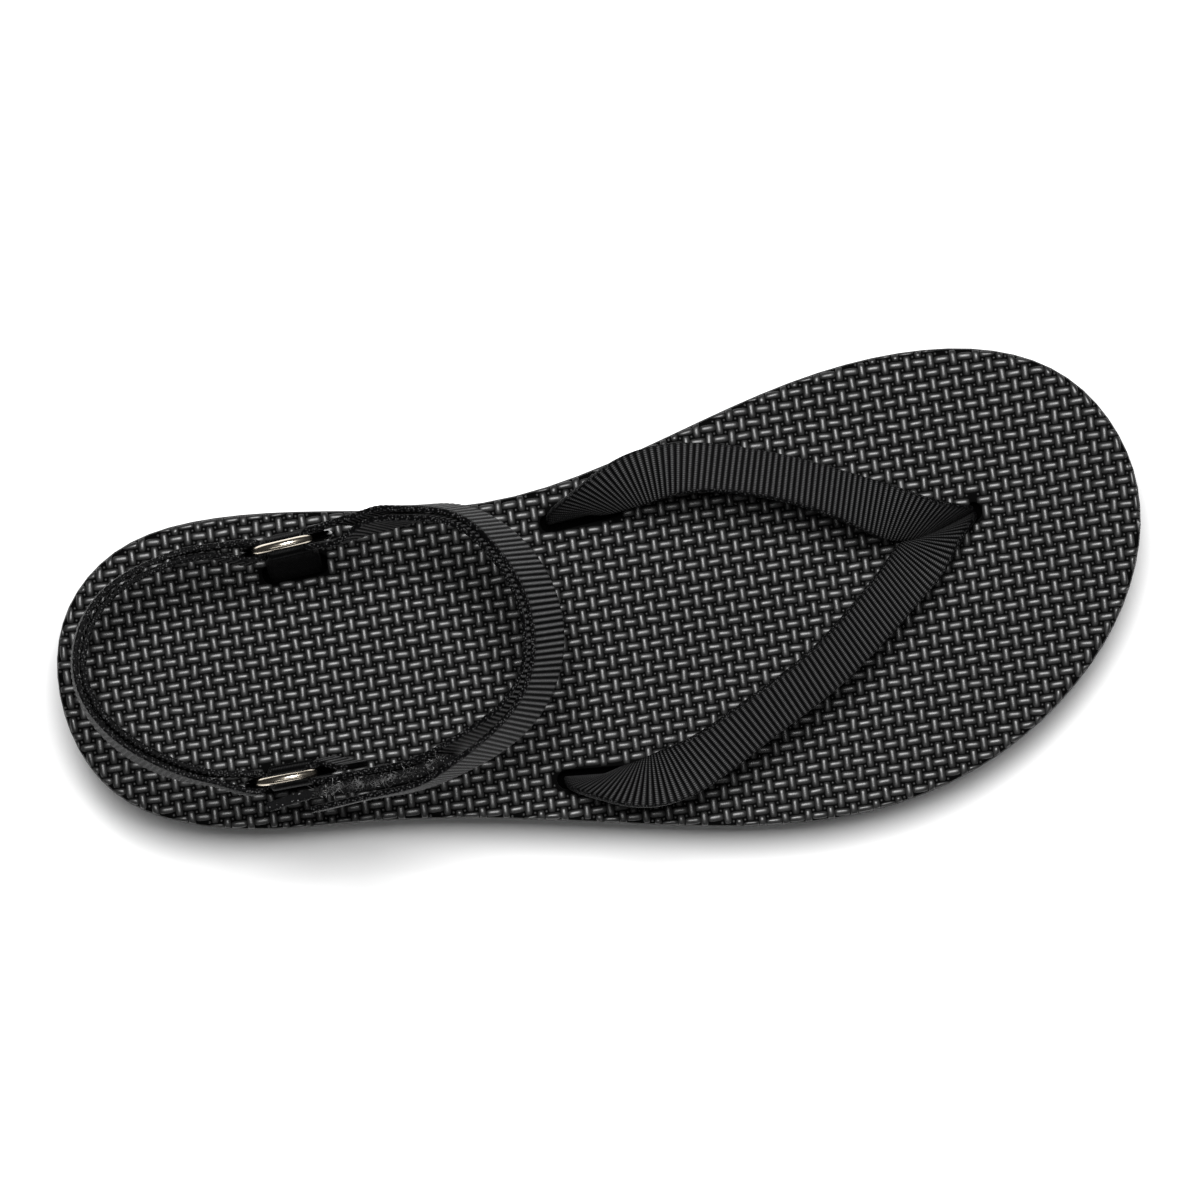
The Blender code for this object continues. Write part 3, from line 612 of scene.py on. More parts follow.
def heel_rows(rings, step):
    """Rows of points across the doubled webbing round the heel, in one closed loop."""
    medial, lateral = rings["medial"], rings["lateral"]
    ends = np.array([medial.exit(HEEL_ANGLE, 0.0), lateral.exit(HEEL_ANGLE, 0.0)])
    points = np.concatenate([ends[:1], on_footbed(HEEL_STRAP), ends[1:]])
    leans = [medial.lean] + [row[4] for row in HEEL_STRAP] + [lateral.lean]
    run = Run(points, leans, step)
    distance, toward = ring_distance(run)
    behind = toward[:, None] < 0.0
    directions = zip(medial.spoke(HEEL_ANGLE), lateral.spoke(HEEL_ANGLE))
    spokes, across = (np.where(behind, *pair) for pair in directions)
    flat_step = (STRAP_THICKNESS + LAYER_GAP) / 2
    apart = HUG_RADIUS + (flat_step - HUG_RADIUS) * ease(distance / CLOSE_RUN)
    loose = ease(distance / FLATTEN_RUN)[:, None]
    wide = unit(run.wide * loose - across * (1.0 - loose))
    outward = unit(np.cross(run.tangent, wide))
    layers = {}
    for side in (1.0, -1.0):
        centre = run.centre + outward * (apart * side)[:, None]
        layers[side] = cupped(centre, wide, distance, -spokes)
    at_lateral = lateral.hug(HEEL_ANGLE, -1.0, 1.0, lateral.tilt(HEEL_ANGLE, -run.tangent[-1], 1.0))
    at_medial = medial.hug(HEEL_ANGLE, -1.0, -1.0, medial.tilt(HEEL_ANGLE, run.tangent[0], -1.0))
    return np.concatenate([layers[1.0], at_lateral[1:-1], layers[-1.0][::-1], at_medial[1:-1]])


def lower_instep(rings, step):
    """The lower layer over the instep, which leaves each ring straight along its spoke."""
    lateral, medial = rings["lateral"], rings["medial"]
    start = lateral.exit(INSTEP_ANGLE, 1.0)
    end = medial.exit(INSTEP_ANGLE, -1.0)
    start_lead = start + lateral.spoke(INSTEP_ANGLE)[0] * LEAD_RUN
    end_lead = end + medial.spoke(INSTEP_ANGLE)[0] * LEAD_RUN
    points = np.concatenate([[start, start_lead], on_footbed(INSTEP_STRAP), [end_lead, end]])
    leans = [lateral.lean] * 2 + [row[4] for row in INSTEP_STRAP] + [medial.lean] * 2
    return Run(points, leans, step)


def upper_instep(rings, step):
    """The upper layer over the instep, with its free end."""
    medial = rings["medial"]
    start = medial.exit(INSTEP_ANGLE, 1.0)
    steps = [row[5] for row in INSTEP_STRAP]
    beside, beside_leans, _ = lower_instep(rings, STATION_STEP).beside(2, len(INSTEP_STRAP) + 1, steps)
    ends = [start + medial.spoke(INSTEP_ANGLE)[0] * LEAD_RUN, start]
    points = np.concatenate([on_footbed(INSTEP_TAIL), beside, ends])
    leans = [row[4] for row in INSTEP_TAIL] + list(beside_leans) + [medial.lean] * 2
    return Run(points, leans, step)


def instep_rows(rings, step):
    """Rows of points across the webbing from the lateral ring, through the medial ring and back."""
    medial, lateral = rings["medial"], rings["lateral"]
    lower = lower_instep(rings, step)
    upper = upper_instep(rings, step)
    distance, toward = ring_distance(lower)
    ringward = lower.tangent * toward[:, None]
    under = cupped(lower.centre, lower.wide, distance, ringward)

    short = lower.places <= SHORT_END
    closing = ease(lower.places[short] / SHORT_END)
    apart = 2 * HUG_RADIUS + (STRAP_THICKNESS + LAYER_GAP - 2 * HUG_RADIUS) * closing
    inner = lower.centre[short] - lower.outward[short] * apart[:, None]
    folded = cupped(inner, lower.wide[short], distance[short], ringward[short])

    from_ring = upper.places[-1] - upper.places
    over = cupped(upper.centre, upper.wide, from_ring, upper.tangent)

    at_lateral = lateral.hug(INSTEP_ANGLE, 1.0, -1.0)
    at_medial = medial.hug(INSTEP_ANGLE, 1.0, -1.0)
    return np.concatenate([folded[::-1], at_lateral[1:-1], under, at_medial[1:-1], over[::-1]])


def anchor_rows(ring, step):
    """Rows of points across the doubled webbing from the footbed slot round the ring's wire."""
    across = ring.spoke(ANCHOR_ANGLE)[1]
    aside = unit(ring.outward - ring.rise * (ring.outward @ ring.rise))
    length = np.linalg.norm(ring.base - ring.slot) + ROOT_DEPTH
    distance = np.linspace(0.0, length, round(length / step) + 1)
    flat_step = (STRAP_THICKNESS + LAYER_GAP) / 2
    apart = HUG_RADIUS + (flat_step - HUG_RADIUS) * ease(distance / FLATTEN_RUN)
    ringward = np.tile(ring.up, (len(distance), 1))
    wide = np.tile(across, (len(distance), 1))
    legs = {}
    for side in (1.0, -1.0):
        centre = ring.base - ring.rise * distance[:, None] + aside * (apart * side)[:, None]
        legs[side] = cupped(centre, wide, distance, ringward)
    fold = ring.hug(ANCHOR_ANGLE, 1.0, 1.0, ring.tilt(ANCHOR_ANGLE, -ring.rise, 1.0))
    return np.concatenate([legs[1.0][::-1], fold[1:-1], legs[-1.0]])


def tape_rows(rings, step):
    """Rows of points across the hook-and-loop tape, and its thickness at each row."""
    lower = lower_instep(rings, STATION_STEP)
    steps = [row[5] / 2 for row in INSTEP_STRAP[:TAPE_ROWS]]
    beside, beside_leans, half_gap = lower.beside(2, TAPE_ROWS + 1, steps)
    points = np.concatenate([on_footbed(TAPE_TAIL)[::-1], beside])
    leans = [row[4] for row in TAPE_TAIL[::-1]] + list(beside_leans)
    run = Run(points, leans, step)
    half = STRAP_WIDTH / 2 - TAPE_SIDE_MARGIN
    grid = run.centre[:, None] + run.wide[:, None] * (half * ACROSS)[None, :, None]
    filled = 2 * half_gap - STRAP_THICKNESS - 2 * SEAT_GAP
    return grid, np.interp(run.places, run.knots, np.concatenate([[TAB_THICKNESS] * len(TAPE_TAIL), filled]))


def rim_distance(points):
    """Distance of points inside the footbed's outline from it, negative outside, and the way inward."""
    start = outline_loop()
    edge = np.roll(start, -1, axis=0) - start
    away = points[:, None] - start[None]
    share = np.clip(np.sum(away * edge, axis=-1) / np.sum(edge * edge, axis=-1), 0.0, 1.0)
    gaps = np.linalg.norm(away - share[..., None] * edge, axis=-1)
    beside = gaps.argmin(axis=1)
    inward = unit(np.column_stack([-edge[:, 1], edge[:, 0]]))[beside]
    nearest = gaps.min(axis=1)
    end_y = start[:, 1] + edge[:, 1]
    crosses = (start[None, :, 1] > points[:, None, 1]) != (end_y[None] > points[:, None, 1])
    slope = edge[:, 0] / np.where(edge[:, 1] == 0.0, 1.0, edge[:, 1])
    meets = start[:, 0] + away[..., 1] * slope > points[:, None, 0]
    inside = np.sum(crosses & meets, axis=1) % 2 == 1
    return np.where(inside, nearest, -nearest), inward


def slot_rows(rings):
    """Every slot in the footbed: x, y, heading, length, width."""
    rows = [(*row[1:], SLOT_WIDTH) for row in THONG_SLOTS]
    for ring in rings.values():
        x, y, _ = ring.slot - ring.rise * FOOTBED_THICKNESS / 2
        rows.append((x, y, ring.heading, ANCHOR_SLOT_LENGTH, ANCHOR_SLOT_WIDTH))
    return rows


def slot_distance(points, rings):
    """Distance of points from the nearest slot."""
    nearest = np.full(len(points), np.inf)
    for x, y, heading, length, width in slot_rows(rings):
        along = np.array([math.cos(math.radians(heading)), math.sin(math.radians(heading))])
        away = points - np.array([x, y])
        reach = length / 2 - width / 2
        beside = away - np.clip(away @ along, -reach, reach)[:, None] * along
        nearest = np.minimum(nearest, np.linalg.norm(beside, axis=1) - width / 2)
    return nearest


def socket_or_value(tree, target, value):
    """Sets an input to a value, or joins another node's output to it."""
    if isinstance(value, bpy.types.NodeSocket):
        tree.links.new(value, target)
    else:
        target.default_value = value


def node(tree, kind, inputs, output=0, **settings):
    """Adds a shader node with its inputs and settings, and gives one of its outputs."""
    made = tree.nodes.new(kind)
    for name, value in settings.items():
        setattr(made, name, value)
    for name, value in inputs.items():
        socket_or_value(tree, made.inputs[name], value)
    return made.outputs[output]


def calculate(tree, operation, *values):
    """A maths node."""
    return node(tree, "ShaderNodeMath", dict(enumerate(values)), operation=operation)


def ramp(tree, share, low, high, low_colour, high_colour):
    """A colour that goes from one to another as a share goes from low to high."""
    made = tree.nodes.new("ShaderNodeValToRGB")
    for element, place, colour in zip(made.color_ramp.elements, (low, high), (low_colour, high_colour)):
        element.position = place
        element.color = colour
    tree.links.new(share, made.inputs["Fac"])
    return made.outputs["Color"]


def product(tree, *values):
    """Several values multiplied."""
    result = values[0]
    for value in values[1:]:
        result = calculate(tree, "MULTIPLY", result, value)
    return result


def wave(tree, turns):
    """Half waves from 0 to 1, one to each turn."""
    return calculate(tree, "ABSOLUTE", calculate(tree, "SINE", product(tree, turns, math.pi)))


def split(tree, vector):
    """The three parts of a vector."""
    made = tree.nodes.new("ShaderNodeSeparateXYZ")
    tree.links.new(vector, made.inputs[0])
    return made.outputs


def noise(tree, scale, detail=3.0):
    """Noise in the object's own space, with a number of cells to a metre."""
    place = node(tree, "ShaderNodeTexCoord", {}, "Object")
    return node(tree, "ShaderNodeTexNoise", {"Vector": place, "Scale": scale, "Detail": detail}, "Fac")


def spots(tree, scale, outer, inner):
    """Round spots in the object's own space, from 0 at their outer distance to 1 at their inner one."""
    place = node(tree, "ShaderNodeTexCoord", {}, "Object")
    away = node(tree, "ShaderNodeTexVoronoi", {"Vector": place, "Scale": scale})
    return rising(tree, away, outer, inner)


def rising(tree, value, start, end):
    """A share that goes from 0 to 1 as a value goes from start to end."""
    return node(tree, "ShaderNodeMapRange", {"Value": value, "From Min": start, "From Max": end})


def between(tree, share, low, high):
    """A share stretched to the span between two values."""
    return node(tree, "ShaderNodeMapRange", {"Value": share, "To Min": low, "To Max": high})


def bump(tree, height, depth):
    """A bump normal from a height, with its depth in millimetres."""
    return node(tree, "ShaderNodeBump", {"Height": height, "Distance": depth * MM})


def shaded(colour, share):
    """A colour made darker or lighter."""
    return tuple(share * part for part in colour[:3]) + (1.0,)


def surface(name, **inputs):
    """A material with a function to finish its shader's inputs."""
    material = bpy.data.materials.new(name)
    material.use_nodes = True
    tree = material.node_tree
    shader = tree.nodes["Principled BSDF"]

    def finish(**values):
        for key, value in values.items():
            socket_or_value(tree, shader.inputs[key.replace("_", " ").title().replace("Ior", "IOR")], value)

    finish(**inputs)
    return material, tree, finish


def rubber_surface(colour):
    """Matt rubber with a fine grain."""
    material, tree, finish = surface("outsole_rubber", specular_ior_level=0.25)
    grain = noise(tree, RUBBER_GRAIN)
    finish(
        base_color=ramp(tree, noise(tree, RUBBER_PATCH), 0.35, 0.75, tuple(colour), shaded(colour, 1.6)),
        roughness=between(tree, grain, 0.47, 0.65),
        normal=bump(tree, grain, RUBBER_DEPTH),
    )
    return material


def platform_surface(name, top, side):
    """Foam in one colour on its sides, with painted shade where it faces up: a darker colour on the ground
    between the bars of the weave and in the slots.
    """
    material, tree, finish = surface(name)
    grain = noise(tree, FOAM_GRAIN)
    upward = split(tree, node(tree, "ShaderNodeNewGeometry", {}, "Normal"))["Z"]
    sideways = rising(tree, upward, 0.9, 0.5)
    shade = product(tree, sideways, between(tree, grain, 0.7, 1.0))
    finish(
        # painted shade: faces that point up take the darker top colour
        base_color=ramp(tree, shade, 0.0, 1.0, tuple(top), tuple(side)),
        roughness=between(tree, grain, 0.54, 0.72),
        specular_ior_level=product(tree, sideways, 0.2),
        normal=bump(tree, grain, FOAM_DEPTH),
    )
    return material


def raised_surface(colour):
    """Smooth moulded foam on the tops of the weave."""
    material, tree, finish = surface("footbed_raised", specular_ior_level=0.44)
    wear = noise(tree, RAISED_WEAR, 4.0)
    finish(
        base_color=ramp(tree, wear, 0.35, 0.75, tuple(colour), shaded(colour, 1.7)),
        roughness=between(tree, wear, 0.30, 0.46),
        normal=bump(tree, noise(tree, RAISED_GRAIN), RAISED_DEPTH),
    )
    return material


def webbing_surface(name, settings, lift):
    """Black yarns, with highlights painted into the colour in beads along the ribs' crests and in the edges.
    """
    material, tree, finish = surface(name, specular_ior_level=0.03)
    place = split(tree, node(tree, "ShaderNodeUVMap", {}, uv_map="weave"))
    rib = calculate(tree, "DIVIDE", place["X"], settings.rib_pitch)
    every_other = product(tree, calculate(tree, "FLOOR", rib), 0.5)
    yarn = calculate(tree, "ADD", calculate(tree, "DIVIDE", place["Y"], settings.yarn_pitch), every_other)
    crest = wave(tree, rib)
    crown = wave(tree, yarn)
    strand = noise(tree, YARN_STRAND, 2.0)
    edge = node(tree, "ShaderNodeAttribute", {}, "Fac", attribute_name="edge")
    face = calculate(tree, "SUBTRACT", 1.0, edge)
    # painted highlight along the rib crests
    rib_light = product(tree, calculate(tree, "POWER", crest, RIB_LINE), crown, strand, face, lift)
    bead = spots(tree, 1.0 / settings.bead_pitch, 0.55, 0.1)
    # painted highlight in the edge beads
    edge_light = product(tree, edge, bead, bead, noise(tree, EDGE_PATCH), EDGE_LIFT)
    light = calculate(tree, "MAXIMUM", rib_light, edge_light)
    height = calculate(tree, "ADD", calculate(tree, "ADD", crown, strand), product(tree, edge, bead, 2.0))
    finish(
        base_color=ramp(tree, light, 0.02, 1.0, tuple(settings.yarn), tuple(settings.light)),
        roughness=between(tree, strand, 0.40, 0.60),
        normal=bump(tree, height, YARN_DEPTH),
    )
    return material


def pile_surface(settings):
    """The matted loops of the hook-and-loop tape, with highlights painted on the hooks in lighter spots."""
    material, tree, finish = surface("tape_pile", specular_ior_level=0.08)
    matted = noise(tree, PILE_MAT, 6.0)
    # painted highlight: lighter spots on the hooks
    light = product(tree, spots(tree, PILE_HOOKS, 0.26, 0.12), noise(tree, PILE_PATCH))
    finish(
        base_color=ramp(tree, light, 0.15, 0.70, tuple(settings.pile), tuple(settings.fibre)),
        roughness=between(tree, matted, 0.75, 0.95),
        normal=bump(tree, matted, PILE_DEPTH),
    )
    return material


def fibre_surface(colour):
    """Loose nylon fibres, some lighter than others."""
    material, tree, finish = surface("tape_fibre", specular_ior_level=0.5)
    shade = noise(tree, FIBRE_PATCH)
    finish(base_color=ramp(tree, shade, 0.48, 0.66, shaded(colour, 0.08), tuple(colour)), roughness=0.35)
    return material


def metal_surface(settings):
    """Polished plating with faint wear, and painted shade where webbing covers the wire: the colour goes near
    black there.
    """
    material, tree, finish = surface("ring_plating", metallic=1.0)
    wear = noise(tree, PLATING_WEAR, 5.0)
    unshaded = node(tree, "ShaderNodeAttribute", {}, "Fac", attribute_name="unshaded")
    finish(
        # painted shade: near black where the webbing hugs the wire
        base_color=ramp(tree, unshaded, 0.0, 1.0, (0.01, 0.01, 0.01, 1.0), tuple(settings.metal)),
        roughness=between(tree, wear, settings.roughness - 0.05, settings.roughness + 0.09),
        normal=bump(tree, wear, PLATING_DEPTH),
    )
    return material


def floor_surface(colour):
    """White studio paper with a faint tooth."""
    material, tree, finish = surface("floor_paper", base_color=tuple(colour), specular_ior_level=0.1)
    tooth = noise(tree, PAPER_TOOTH)
    finish(roughness=between(tree, tooth, 0.85, 0.95), normal=bump(tree, tooth, PAPER_DEPTH))
    return material


def mesh_object(name, points, faces, material):
    """A smooth object from points in millimetres and faces."""
    mesh = bpy.data.meshes.new(name)
    mesh.from_pydata((np.asarray(points) * MM).tolist(), [], faces)
    mesh.shade_smooth()
    mesh.materials.append(material)
    made = bpy.data.objects.new(name, mesh)
    bpy.context.collection.objects.link(made)
    return made


def dress(made, slot, *nodes):
    """Hangs a piece on the part's body, in place of solids if any are named; the slot it is given is not
    used.
    """
    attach(made, BODY)
    if nodes:
        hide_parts(*nodes)


def grid_faces(columns, rows):
    """Faces of a grid of points that is listed row after row."""
    faces = []
    for i in range(rows - 1):
        for j in range(columns - 1):
            here = i * columns + j
            faces.append((here, here + columns, here + columns + 1, here + 1))
    return faces


def repeated(name, patterns, faces, material):
    """One mesh of many copies of the same few faces, with the points of all copies in order."""
    count, size = patterns.shape[:2]
    shifted = [tuple(k * size + corner for corner in face) for k in range(count) for face in faces]
    return mesh_object(name, patterns.reshape(-1, 3), shifted, material)


def weave_cells(settings):
    """Middles of the weave's cells and of their corners, and whether each cell's bar runs along the foot."""
    turn = settings.turn
    along = np.array([math.cos(turn), math.sin(turn)])
    across = np.array([-along[1], along[0]])
    pitch_along = settings.pitch_along / MM
    pitch_across = settings.pitch_across / MM
    span = int(SOLE_LENGTH / 2 / min(pitch_along, pitch_across)) + SPARE_CELLS
    i, j = [part.ravel() for part in np.mgrid[-span : span + 1, -span : span + 1]]
    first = np.array(WEAVE_START)
    middles = first + np.outer(i * pitch_along, along) + np.outer(j * pitch_across, across)
    corners = middles + along * pitch_along / 2 + across * pitch_across / 2
    return middles, corners, (i + j) % 2 == 0, along, across


def trimmed(flat):
    """Bars or dots with what lies past the rim drawn in to it, and the ground's height under each point."""
    ground = footbed_top(flat[..., 0].ravel()).reshape(flat.shape[:-1])
    near = rim_distance(flat.mean(axis=1))[0] < RIM_NEAR
    distance, inward = rim_distance(flat[near].reshape(-1, 2))
    past = np.maximum(RIM_MARGIN - distance, 0.0)
    flat[near] += (inward * past[:, None]).reshape(flat[near].shape)
    ground[near] -= np.interp(distance + past, *RIM_ROUND).reshape(ground[near].shape)
    return flat, ground


def add_bars(name, middles, along, across, settings, rings, material, seed):
    """Moulded bars, cut short at the slots and trimmed at the rim."""
    middles = middles[rim_distance(middles)[0] > RIM_REACH]
    middles = middles[slot_distance(middles, rings) > SLOT_MARGIN]
    half = settings.bar_length / MM / 2
    reach = {}
    for way in (1.0, -1.0):
        clear = np.ones(len(middles), bool)
        far = np.zeros(len(middles))
        for share in BAR_CUTS:
            clear &= slot_distance(middles + along * half * share * way, rings) > SLOT_MARGIN
            far = np.where(clear, half * share, far)
        reach[way] = far
    long_enough = reach[1.0] + reach[-1.0] > SHORTEST_BAR
    middles = middles[long_enough]
    ahead = reach[1.0][long_enough]
    behind = reach[-1.0][long_enough]
    middles = middles + along * ((ahead - behind) / 2)[:, None]
    lengths = (ahead + behind) / 2
    chance = np.random.default_rng(seed)
    heights = settings.bar_height / MM * chance.uniform(*BAR_HEIGHTS, len(middles))
    swing = np.radians(chance.normal(0.0, BAR_SWING, len(middles)))
    width = settings.bar_width / MM / 2
    place, side = np.meshgrid(BAR_PLACES, BAR_ROUND, indexing="ij")
    arch = np.sqrt((1.0 - np.abs(place) ** BAR_END_POWER) * (1.0 - np.abs(side) ** BAR_SIDE_POWER))
    narrow = (1.0 - BAR_TAPER * np.abs(place) ** BAR_TAPER_POWER) * side
    run = lengths[:, None] * place.ravel()
    wide = width * narrow.ravel() + swing[:, None] * run
    flat, ground = trimmed(middles[:, None] + along * run[..., None] + across * wide[..., None])
    tall = ground + heights[:, None] * arch.ravel() - WEAVE_SINK
    points = np.concatenate([flat, tall[..., None]], axis=2)
    return repeated(name, points, grid_faces(len(BAR_ROUND), len(BAR_PLACES)), material)


def add_dots(name, corners, settings, rings, material):
    """Small domes at the corners of the weave's cells."""
    radius = settings.dot_width / MM / 2
    corners = corners[rim_distance(corners)[0] > RIM_MARGIN + radius]
    corners = corners[slot_distance(corners, rings) > SLOT_MARGIN + radius]
    count = DOT_SIDES
    turns = np.linspace(0.0, 2.0 * math.pi, count + 1)[:-1]
    circle = np.column_stack([np.cos(turns), np.sin(turns)])
    flat = np.concatenate([circle, circle * DOT_SHOULDER, [[0.0, 0.0]]]) * radius
    lift = np.concatenate([np.zeros(count), np.full(count, DOT_SHOULDER_LIFT), [1.0]]) * radius * DOT_HEIGHT
    spread, ground = trimmed(corners[:, None] + flat[None])
    points = np.concatenate([spread, (ground + lift - WEAVE_SINK)[..., None]], axis=2)
    faces = [(k, (k + 1) % count, count + (k + 1) % count, count + k) for k in range(count)]
    faces += [(count + k, count + (k + 1) % count, 2 * count) for k in range(count)]
    return repeated(name, points, faces, material)


def band(grid, thickness, rib_pitch, rib_height, closed=False):
    """Points, faces, weave places and edge shares of a band with ribs across both faces."""
    rows, across = grid.shape[:2]
    around = np.concatenate([grid[-1:], grid, grid[:1]]) if closed else grid
    along = np.gradient(around, axis=0)
    along = along[1:-1] if closed else along
    side = np.gradient(grid, axis=1)
    normal = unit(np.cross(along, side))
    middle = grid[:, across // 2]
    run = chord_knots(middle)
    rib = np.abs(np.sin(math.pi * run / rib_pitch)) ** RIB_SHARPNESS if rib_pitch else np.zeros(rows)
    thickness = np.broadcast_to(np.asarray(thickness, float), rows)
    groove = np.outer(rib_height * (1.0 - rib), 1.0 - np.abs(ACROSS) ** EDGE_POWER)
    half = (thickness[:, None] / 2 - groove) * EDGE_SHARE
    top = grid + normal * half[..., None]
    bottom = grid - normal * half[..., None]
    loop = np.concatenate([top, bottom[:, ::-1]], axis=1)
    count = 2 * across
    faces = []
    for i in range(rows if closed else rows - 1):
        here = i * count
        there = (i + 1) % rows * count
        for k in range(count):
            after = (k + 1) % count
            faces.append((here + k, there + k, there + after, here + after))
    if not closed:
        faces.append(tuple(range(count)))
        faces.append(tuple(range(rows * count - 1, (rows - 1) * count - 1, -1)))
    places = np.concatenate([ACROSS, ACROSS[::-1]]) * STRAP_WIDTH / 2
    weave = np.stack(np.broadcast_arrays(run[:, None], places[None, :]), axis=2)
    edges = np.broadcast_to(np.concatenate([ACROSS, ACROSS[::-1]]) ** EDGE_POWER, (rows, count))
    return loop.reshape(-1, 3), faces, weave.reshape(-1, 2), edges.reshape(-1)


def add_webbing(name, bands, material):
    """One object from bands of webbing, with places in the weave and its edges marked."""
    points = []
    faces = []
    weave = []
    edges = []
    for band_points, band_faces, band_weave, band_edges in bands:
        first = len(points)
        points.extend(band_points)
        faces.extend(tuple(first + corner for corner in face) for face in band_faces)
        weave.extend(band_weave)
        edges.extend(band_edges)
    made = mesh_object(name, points, faces, material)
    corners = np.empty(len(made.data.loops), np.int32)
    made.data.loops.foreach_get("vertex_index", corners)
    layer = made.data.uv_layers.new(name="weave")
    layer.data.foreach_set("uv", (np.array(weave)[corners] * MM).astype(np.float32).ravel())
    marked = made.data.attributes.new("edge", "FLOAT", "POINT")
    marked.data.foreach_set("value", np.array(edges, np.float32))
    return made


def add_fibres(name, roots, settings, material):
    """Thin curling fibres that start at roots and lean upward."""
    chance = np.random.default_rng(FIBRE_SEED)
    chosen = chance.integers(0, len(roots), settings.fibres)
    knots = FIBRE_KNOTS
    sides = FIBRE_SIDES
    points = []
    faces = []
    for k in chosen:
        lean = unit(UP + chance.normal(0.0, FIBRE_LEAN, 3))
        curl = unit(np.cross(lean, chance.normal(0.0, 1.0, 3)))
        length = settings.fibre_length / MM * chance.uniform(*FIBRE_LENGTHS)
        bend = chance.uniform(*FIBRE_BENDS) * length
        start = roots[k] + chance.normal(0.0, FIBRE_SCATTER, 3)
        path = start + np.outer(knots, lean) * length
        path = path + np.outer(knots**2, curl) * bend - np.outer(knots**3, lean) * bend / 2
        across = unit(np.cross(lean, curl))
        first = len(points)
        for centre in path:
            for turn in np.linspace(0.0, 2.0 * math.pi, sides + 1)[:-1]:
                points.append(centre + (curl * math.cos(turn) + across * math.sin(turn)) * FIBRE_RADIUS)
        for i in range(len(knots) - 1):
            here = first + i * sides
            for j in range(sides):
                beside = (j + 1) % sides
                faces.append((here + j, here + beside, here + sides + beside, here + sides + j))
    return mesh_object(name, points, faces, material)


def add_wire(ring, material):
    """A smooth wire ring, marked with a share that is 1 on the stretches no webbing covers and falls to 0
    under the webbing, where painted shade darkens the wire.
    """
    points = []
    faces = []
    unshaded = []
    covered = math.degrees(math.asin(HUG_HALF_WIDTH / RING_RADIUS))
    for i in range(RING_SEGMENTS):
        angle = 360.0 * i / RING_SEGMENTS
        away = ring.spoke(angle)[0]
        off_webbing = min(abs((angle - hug + 180.0) % 360.0 - 180.0) for hug in HUG_ANGLES) - covered
        here = i * RING_SIDES
        after = (i + 1) % RING_SEGMENTS * RING_SIDES
        for j in range(RING_SIDES):
            unshaded.append(min(max(off_webbing / SHADE_FADE_RUN, 0.0), 1.0))
            turn = 2.0 * math.pi * j / RING_SIDES
            reach = RING_RADIUS + RING_WIRE * math.cos(turn)
            points.append(ring.centre + away * reach + ring.outward * RING_WIRE * math.sin(turn))
            beside = (j + 1) % RING_SIDES
            face = (here + j, after + j, after + beside, here + beside)
            faces.append(face if ring.outward[1] > 0.0 else face[::-1])
    made = mesh_object(f"wire_{ring.side}", points, faces, material)
    made.data.attributes.new("unshaded", "FLOAT", "POINT").data.foreach_set("value", unshaded)
    return made


def all_rings():
    """Both rings by their side."""
    return {side: Ring(side) for side in RINGS}


def paint(node_name, material):
    """Gives one of the part's own solids a material."""
    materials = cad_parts[node_name].data.materials
    materials.clear()
    materials.append(material)


class SANDAL_OT_sole(bpy.types.Operator):
    """Give the platform and the tread their foam and rubber"""

    bl_idname = "sandal.sole"
    bl_label = "Dress the sole"

    def execute(self, context):
        settings = context.scene.sandal_sole
        # painted shade on the slot floors, from the midsole's darker top colour
        paint("midsole", platform_surface("midsole_foam", settings.slot_shade, settings.foam))
        paint("outsole", rubber_surface(settings.rubber))
        return {"FINISHED"}


class SANDAL_OT_footbed(bpy.types.Operator):
    """Mould the woven relief on the footbed"""

    bl_idname = "sandal.footbed"
    bl_label = "Weave the footbed"

    def execute(self, context):
        settings = context.scene.sandal_footbed
        rings = all_rings()
        # painted shade on the ground between the bars, from the footbed's darker top colour
        paint("footbed", platform_surface("footbed_ground", settings.sunken_shade, context.scene.sandal_sole.foam))
        foam = raised_surface(settings.raised)
        middles, corners, lengthwise, along, across = weave_cells(settings)
        crosswise = ~lengthwise
        pieces = (
            add_bars("weave_along", middles[lengthwise], along, across, settings, rings, foam, ALONG_SEED),
            add_bars("weave_across", middles[crosswise], across, -along, settings, rings, foam, ACROSS_SEED),
            add_dots("weave_dots", corners, settings, rings, foam),
        )
        for piece in pieces:
            dress(piece, "footbed")
        return {"FINISHED"}


class SANDAL_OT_webbing(bpy.types.Operator):
    """Weave the thong, the anchors, the heel strap and the instep strap from ribbed webbing"""

    bl_idname = "sandal.webbing"
    bl_label = "Weave the webbing"

    def execute(self, context):
        settings = context.scene.sandal_webbing
        rings = all_rings()
        plain = webbing_surface("webbing_yarn", settings, PLAIN_LIFT)
        # lit copy for the instep strap, with brighter painted highlights on its ribs; the anchors' copy below
        # is darkened as painted shade
        lit_yarn = webbing_surface("webbing_yarn_lit", settings, LIT_LIFT)
        dim = webbing_surface("webbing_yarn_shaded", settings, SHADED_LIFT)
        pitch = settings.rib_pitch / MM
        height = settings.rib_height / MM
        step = pitch / ROWS_PER_RIB
        straps = (
            ("thong_strap", plain, [thong_arm(MEDIAL_ARM, step), thong_arm(LATERAL_ARM, step)]),
            ("heel_strap", plain, [heel_rows(rings, step)]),
            ("instep_strap", lit_yarn, [instep_rows(rings, step)]),
            ("anchor_strap_medial", dim, [anchor_rows(rings["medial"], step)]),
            ("anchor_strap_lateral", dim, [anchor_rows(rings["lateral"], step)]),
        )
        for name, material, grids in straps:
            closed = name == "heel_strap"
            bands = [band(grid, STRAP_THICKNESS, pitch, height, closed) for grid in grids]
            dress(add_webbing(f"webbing_{name}", bands, material), "webbing", name)
        return {"FINISHED"}


